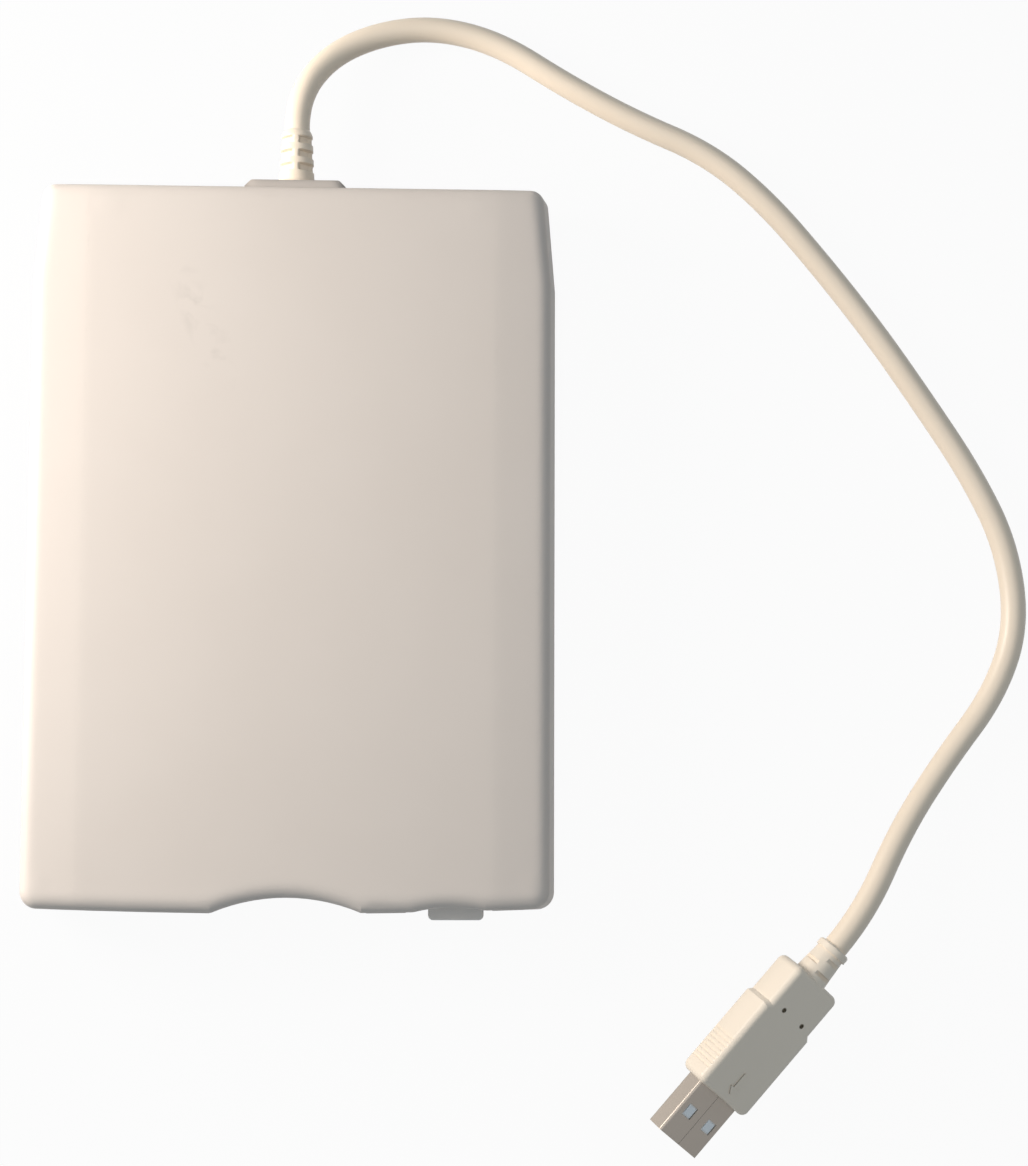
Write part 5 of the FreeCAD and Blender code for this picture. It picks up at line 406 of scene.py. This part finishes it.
zinc = metal("zinc_plate", (0.62, 0.62, 0.60), 0.35)
foot_rubber = moulded("foot_rubber", (0.035, 0.035, 0.036), (0.05, 0.05, 0.052), 0.75, 1800.0, 0.3)
paint(foot_rubber, "rubber_feet")
case_spots = [(36, 67.2), (-36, 67.2)]
frame_spots = [(43, -35), (-43, -35), (43, 25), (-43, 25)]
case_screw_skins = screws("case_screw_skins", case_spots, shank=1.0, foot=0.95, tip=13.7)
frame_screw_skins = screws("frame_screw_skins", frame_spots, shank=1.2, foot=0.95, tip=4.5)
for skin, replaced in ((case_screw_skins, "case_screws"), (frame_screw_skins, "frame_screws")):
    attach(skin, "base")
    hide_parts(replaced)


# Front pieces. The eject button and the sprung flap over the slot are moulded in plastics near
# the case's, the button's painted lighter than the case's as painted light on its shaded top,
# and a clear light pipe carries the indicator lamp's light through the front.


def light_pipe_plastic():
    """Clear plastic with a slight green tint."""
    look = bpy.data.materials.new("light_pipe_plastic")
    look.use_nodes = True
    tree = look.node_tree
    shader = tree.nodes["Principled BSDF"]
    clear = {"Base Color": (0.62, 0.78, 0.55, 1), "Roughness": 0.18, "Transmission Weight": 0.6, "IOR": 1.49}
    feed(tree, shader, clear)
    return look


# Painted light: the button's plastic is lighter than the case's, standing for light on its top, which the
# front wall shades.
button_plastic = moulded("button_plastic", (0.85, 0.785, 0.72), (0.87, 0.805, 0.74), 0.45, 3000.0, 0.08)
paint(button_plastic, "eject_button")
paint(moulded("flap_plastic", (0.50, 0.45, 0.40), (0.53, 0.48, 0.43), 0.5), "slot_flap")
paint(light_pipe_plastic(), "led_lens", "lamp")


# Loading mechanism. A folded steel tray, a thin cover, the sliding yoke with its inclined slots,
# the disk holder that the slots lower, and the small lever that opens the disk's shutter.

galvanised = metal("galvanised_sheet", (0.58, 0.58, 0.57), 0.38, streak=0.9)
paint(galvanised, "mechanism_frame", "mechanism_cover", "slide_plate", "disk_carrier")
paint(galvanised, "shutter_latch", "screw_bracket")
steel = metal("bright_steel", (0.66, 0.66, 0.66), 0.22)
paint(steel, "carrier_pins", "latch_rivet", "drive_pin", "spindle_shaft", "arm_pin", "guide_rod")
paint(steel, "lead_screw", "stepper_motor", "rotor_cup", "stator_core", "crystal")


def coil_springs(name, spots, start, end, height, outer, wire, coils):
    """Tension springs along y, each a round wire swept along a helix with an eye at each end.

    The centre line goes round the y axis at the mean radius. Its first and last turns keep one y
    and so make the eyes, and between them y grows evenly with the angle. The wire's section is a
    circle across the line, from the line's tangent and two normals found by cross products.
    """
    mean = outer - wire / 2
    eyes, eye_turns = 2, 0.8
    turn = np.linspace(0, coils + eyes, 24 * (coils + eyes) + 1)
    grown = np.clip((turn - eye_turns) / (coils + eyes - 2 * eye_turns), 0, 1)
    y = start + wire / 2 + (end - start - wire) * grown
    around = turn * 2 * math.pi
    line = np.stack([mean * np.cos(around), y, mean * np.sin(around)], axis=-1)
    tangent = np.gradient(line, axis=0)
    tangent /= np.linalg.norm(tangent, axis=1, keepdims=True)
    out = line * (1, 0, 1) / mean
    side = np.cross(tangent, out)
    side /= np.linalg.norm(side, axis=1, keepdims=True)
    out = np.cross(side, tangent)
    angle = np.linspace(0, 2 * math.pi, 12, endpoint=False)[None, :, None]
    one = line[:, None] + wire / 2 * (np.cos(angle) * out[:, None] + np.sin(angle) * side[:, None])
    return surface_piece(name, [one + (x, 0, height) for x in spots], steel)


spring_front, spring_rear, eye_gap, slide_stroke = 44.0, 57.8, 0.02, 4.5
springs = coil_springs(
    "slide_spring_coils",
    spots=(43.6, -43.6),
    start=spring_front + eye_gap,
    end=spring_rear - eye_gap,
    height=11.0,
    outer=1.4,
    wire=0.7,
    coils=7,
)
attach(springs, "base")
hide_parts("slide_springs")
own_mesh(springs)


# Spindle motor, heads and boards. A flat motor on a printed board turns its ring magnet inside
# an open ring of wound poles, a moulded carriage takes two ceramic heads along its rod, and
# green boards carry the chips, the sensors and the cord's header.

paint(metal("sintered_bronze", (0.50, 0.33, 0.17), 0.5), "spindle_bearing")
paint(metal("enamelled_copper", (0.52, 0.20, 0.08), 0.3), "stator_coils")
ferrite = moulded("bonded_ferrite", (0.03, 0.03, 0.033), (0.045, 0.045, 0.05), 0.6)
paint(ferrite, "rotor_magnet", "chucking_plate")
black = moulded("black_moulding", (0.02, 0.02, 0.022), (0.03, 0.03, 0.033), 0.5)
paint(black, "head_carriage", "upper_head_arm", "rod_clips", "disk_sensors", "track_sensor")
paint(black, "controller_chip", "interface_chip")
slider_ceramic = moulded("slider_ceramic", (0.55, 0.54, 0.50), (0.6, 0.59, 0.55), 0.2)
paint(slider_ceramic, "lower_head", "upper_head")


def printed_board():
    """Green solder mask over copper tracks, with tinned through holes in a loose grid."""
    look = moulded("solder_mask", (0.018, 0.09, 0.035), (0.028, 0.12, 0.045), 0.32)
    tree, shader, place = parts_of(look)
    mask = shader.inputs["Base Color"].links[0].from_socket
    long_rows = {
        "Vector": place,
        "Scale": 130.0,
        "Mortar Size": 0.035,
        "Mortar Smooth": 0.05,
        "Brick Width": 1.3,
        "Row Height": 0.16,
    }
    tracks = add_node(tree, "ShaderNodeTexBrick", long_rows).outputs["Fac"]
    noise = {"Vector": place, "Scale": 90.0}
    regions = add_node(tree, "ShaderNodeTexNoise", noise).outputs["Fac"]
    routed = maths(tree, "MULTIPLY", remap(tree, regions, 0.46, 0.50), tracks)
    copper = mix_colours(tree, routed, mask, (0.05, 0.21, 0.07, 1))
    cells = {"Vector": place, "Scale": 390.0, "Randomness": 0.35}
    grid = add_node(tree, "ShaderNodeTexVoronoi", cells).outputs["Distance"]
    holes = remap(tree, regions, 0.42, 0.40)
    drilled = maths(tree, "MULTIPLY", maths(tree, "LESS_THAN", grid, 0.24), holes)
    tinned = mix_colours(tree, drilled, copper, (0.45, 0.46, 0.45, 1))
    feed(tree, shader, {"Base Color": tinned})
    return look


paint(printed_board(), "motor_board", "sensor_board", "main_board", "cord_board")
white_nylon = moulded("white_nylon", (0.72, 0.70, 0.64), (0.76, 0.74, 0.68), 0.4)
paint(white_nylon, "cord_header", "protect_plunger", "density_plunger", "disk_in_plunger")


# Cord. A round PVC cord leaves the ribbed relief at the rear, falls to the table and runs round
# the right side to the plug, about 0.3 m long and 5 mm thick.

cord_plastic = moulded("cord_vinyl", (0.87, 0.735, 0.585), (0.885, 0.75, 0.60), 0.4, 1500.0, 0.006)


def strain_relief():
    """Strain relief, a surface turned round the cord's axis, with three rows of closed slots.

    Its radius falls along y from the boot at the case to the cord. In each row it also falls by
    the slots' depth, times a step across the row, times a step round the axis that leaves a
    spine on top and below and nearly closes the slot at each side.
    """
    boot = [(67.9, 0.01), (67.9, 4.6), (69.3, 4.6), (69.31, 3.0), (73.0, 3.0), (73.01, 3.95)]
    ribbed = [(73.9, 3.62), (75.0, 3.52), (83.3, 3.12)]
    collar = [(84.0, 2.85), (84.4, 2.54), (85.0, 2.54), (85.0, 0.01)]
    profile = [*boot, *ribbed, *collar]
    axis_height, slot_depth, slot_reach, slot_slope = 9.4, 0.85, 0.8, 0.25
    half_spine, spine_slope, side_floor, side_slope = 0.16, 0.14, 0.3, 0.12
    rows = []
    for start, end in zip(profile, profile[1:]):
        steps = 81 if end[0] - start[0] > 5 else 6
        rows.append(np.linspace(start, end, steps)[:-1])
    y, radius = np.vstack([*rows, profile[-1]]).T
    angle = np.linspace(0, 2 * math.pi, 96, endpoint=False)
    sideways = abs(np.sin(angle))
    off_spine = np.clip((sideways - half_spine) / spine_slope, 0, 1)
    round_step = off_spine * np.clip(side_floor + (1 - sideways) / side_slope, 0, 1)
    middles = (76.5, 79.25, 82.1)
    row_step = sum(np.clip((slot_reach - abs(y - middle)) / slot_slope, 0, 1) for middle in middles)
    r = radius[:, None] - slot_depth * row_step[:, None] * round_step[None, :]
    along = np.broadcast_to(y[:, None], r.shape)
    grid = np.stack([r * np.sin(angle), along, axis_height + r * np.cos(angle)], -1)
    return surface_piece("relief_skin", [grid], cord_plastic, 50)


relief = strain_relief()
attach(relief, "base")
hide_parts("strain_relief")

cord_route = [
    (0.0, 0.085, 0.0094),
    (0.0, 0.0915, 0.0094),
    (0.006, 0.101, 0.0063),
    (0.016, 0.1065, 0.0045),
    (0.028, 0.1085, 0.0032),
    (0.041, 0.1055, 0.0025),
    (0.0545, 0.097, 0.0025),
    (0.0685, 0.0895, 0.0025),
    (0.084, 0.083, 0.0025),
    (0.096, 0.073, 0.0025),
    (0.1075, 0.0595, 0.0025),
    (0.118, 0.046, 0.0025),
    (0.128, 0.0315, 0.0025),
    (0.1375, 0.017, 0.0025),
    (0.1445, 0.0025, 0.0025),
    (0.1465, -0.014, 0.0025),
    (0.1415, -0.028, 0.0025),
    (0.1315, -0.041, 0.0025),
    (0.122, -0.055, 0.0038),
    (0.11367, -0.07159, 0.0072),
    (0.10781, -0.07828, 0.0072),
]
cord_curve = bpy.data.curves.new("usb_cord_line", "CURVE")
cord_curve.dimensions = "3D"
cord_curve.bevel_depth = 0.0025
cord_curve.use_fill_caps = True
cord_curve.bevel_resolution = 10
cord_curve.resolution_u = 24
line = cord_curve.splines.new("NURBS")
line.points.add(len(cord_route) - 1)
for point, place in zip(line.points, cord_route):
    point.co = (*place, 1)
line.order_u = 3
line.use_endpoint_u = True
cord = bpy.data.objects.new("usb_cord_skin", cord_curve)
bpy.context.scene.collection.objects.link(cord)
cord_curve.materials.append(cord_plastic)
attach(cord, "base")
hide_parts("usb_cord")


# Plug. A folded steel shell over a white tongue with four gold plated contacts, in an overmoulded
# grip of the cord's vinyl.


def plug_point(points):
    """Points of the plug's own frame, x from its tip, in the drive's: rolled, turned, placed."""
    roll, heading, tip = 32.5, 48.8, (75.4, -115.3, 7.2)
    turn = Euler((math.radians(roll), 0, 0), "XYZ").to_matrix()
    turn.rotate(Euler((0, 0, math.radians(heading)), "XYZ"))
    return np.asarray(points, float) @ np.array(turn).T + tip


def shade_painted_in_pits(look):
    """Two small moulding pits in the grip's broad side are painted dark brown in and round them, as painted
    shade.
    """
    tree, shader, place = parts_of(look)
    from_tip, off_middle, height = 33.1, 3.1, 3.55
    unshaded_radius, full_shade_radius = 0.00072, 0.00058
    away = []
    for across in (off_middle, -off_middle):
        pit = plug_point([(from_tip, across, height)])[0] / 1000
        distance = add_node(tree, "ShaderNodeVectorMath", {0: place, 1: pit}, operation="DISTANCE")
        away.append(distance.outputs["Value"])
    # Painted shade: the grip's tint turns dark brown inside each pit and in a ring round it, fading out 0.72
    # mm from its centre.
    inside = remap(tree, maths(tree, "MINIMUM", *away), unshaded_radius, full_shade_radius)
    unshaded_tint = shader.inputs["Base Color"].links[0].from_socket
    feed(tree, shader, {"Base Color": mix_colours(tree, inside, unshaded_tint, (0.21, 0.18, 0.13, 1))})


grip_plastic = moulded("grip_vinyl", (0.855, 0.745, 0.615), (0.87, 0.76, 0.63), 0.42, 1800.0, 0.012)
shade_painted_in_pits(grip_plastic)
paint(grip_plastic, "plug_overmould")
paint(metal("nickel_plate", (0.41, 0.36, 0.31), 0.38, bare=0.45), "plug_shell")
# Painted light: the tongue's nylon is lighter and bluer than the other white nylon, standing for light on it
# where the shell's holes shade it.
paint(moulded("tongue_nylon_with_painted_light", (0.90, 0.92, 0.93), (0.93, 0.95, 0.96), 0.3), "plug_tongue")
paint(metal("gold_plate", (0.75, 0.52, 0.20), 0.25), "plug_contacts")


def plug_arrow():
    """A plain arrow that points at the shell, 0.28 mm proud of the grip's broad side.

    The outline is a shaft and a head in the plug's own frame, x from the tip and y across, and
    is lifted along z from just inside the grip. Its walls are painted darker, as painted shade.
    """
    point, barbs, tail, half_head, half_shaft, low, high = 13.9, 15.5, 18.9, 1.2, 0.34, 3.85, 4.18
    one_side = [(barbs, half_head), (barbs, half_shaft), (tail, half_shaft)]
    outline = np.array([(point, 0.0), *one_side, *[(x, -y) for x, y in reversed(one_side)]])
    count = len(outline)
    levels = [np.column_stack([outline, np.full(count, level)]) for level in (low, high)]
    points = plug_point(np.vstack(levels))
    ring = np.arange(count)
    ahead = (ring + 1) % count
    walls = np.column_stack([ahead, ring, ring + count, ahead + count]).tolist()
    flats = [ring.tolist(), (ring[::-1] + count).tolist()]
    mesh = bpy.data.meshes.new("plug_arrow")
    mesh.from_pydata((points / 1000).tolist(), [], flats + walls)
    mesh.update()
    # Painted shade: the arrow's walls take a darker, browner copy of the grip's vinyl.
    arrow_wall_shade = moulded("arrow_edge_painted_shade", (0.40, 0.36, 0.30), (0.45, 0.40, 0.34), 0.6, 1800.0, 0.02)
    mesh.materials.append(grip_plastic)
    mesh.materials.append(arrow_wall_shade)
    mesh.polygons.foreach_set("material_index", np.array([0, 0] + [1] * count, dtype=np.int32))
    thing = bpy.data.objects.new("plug_arrow", mesh)
    bpy.context.scene.collection.objects.link(thing)
    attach(thing, "base")


plug_arrow()
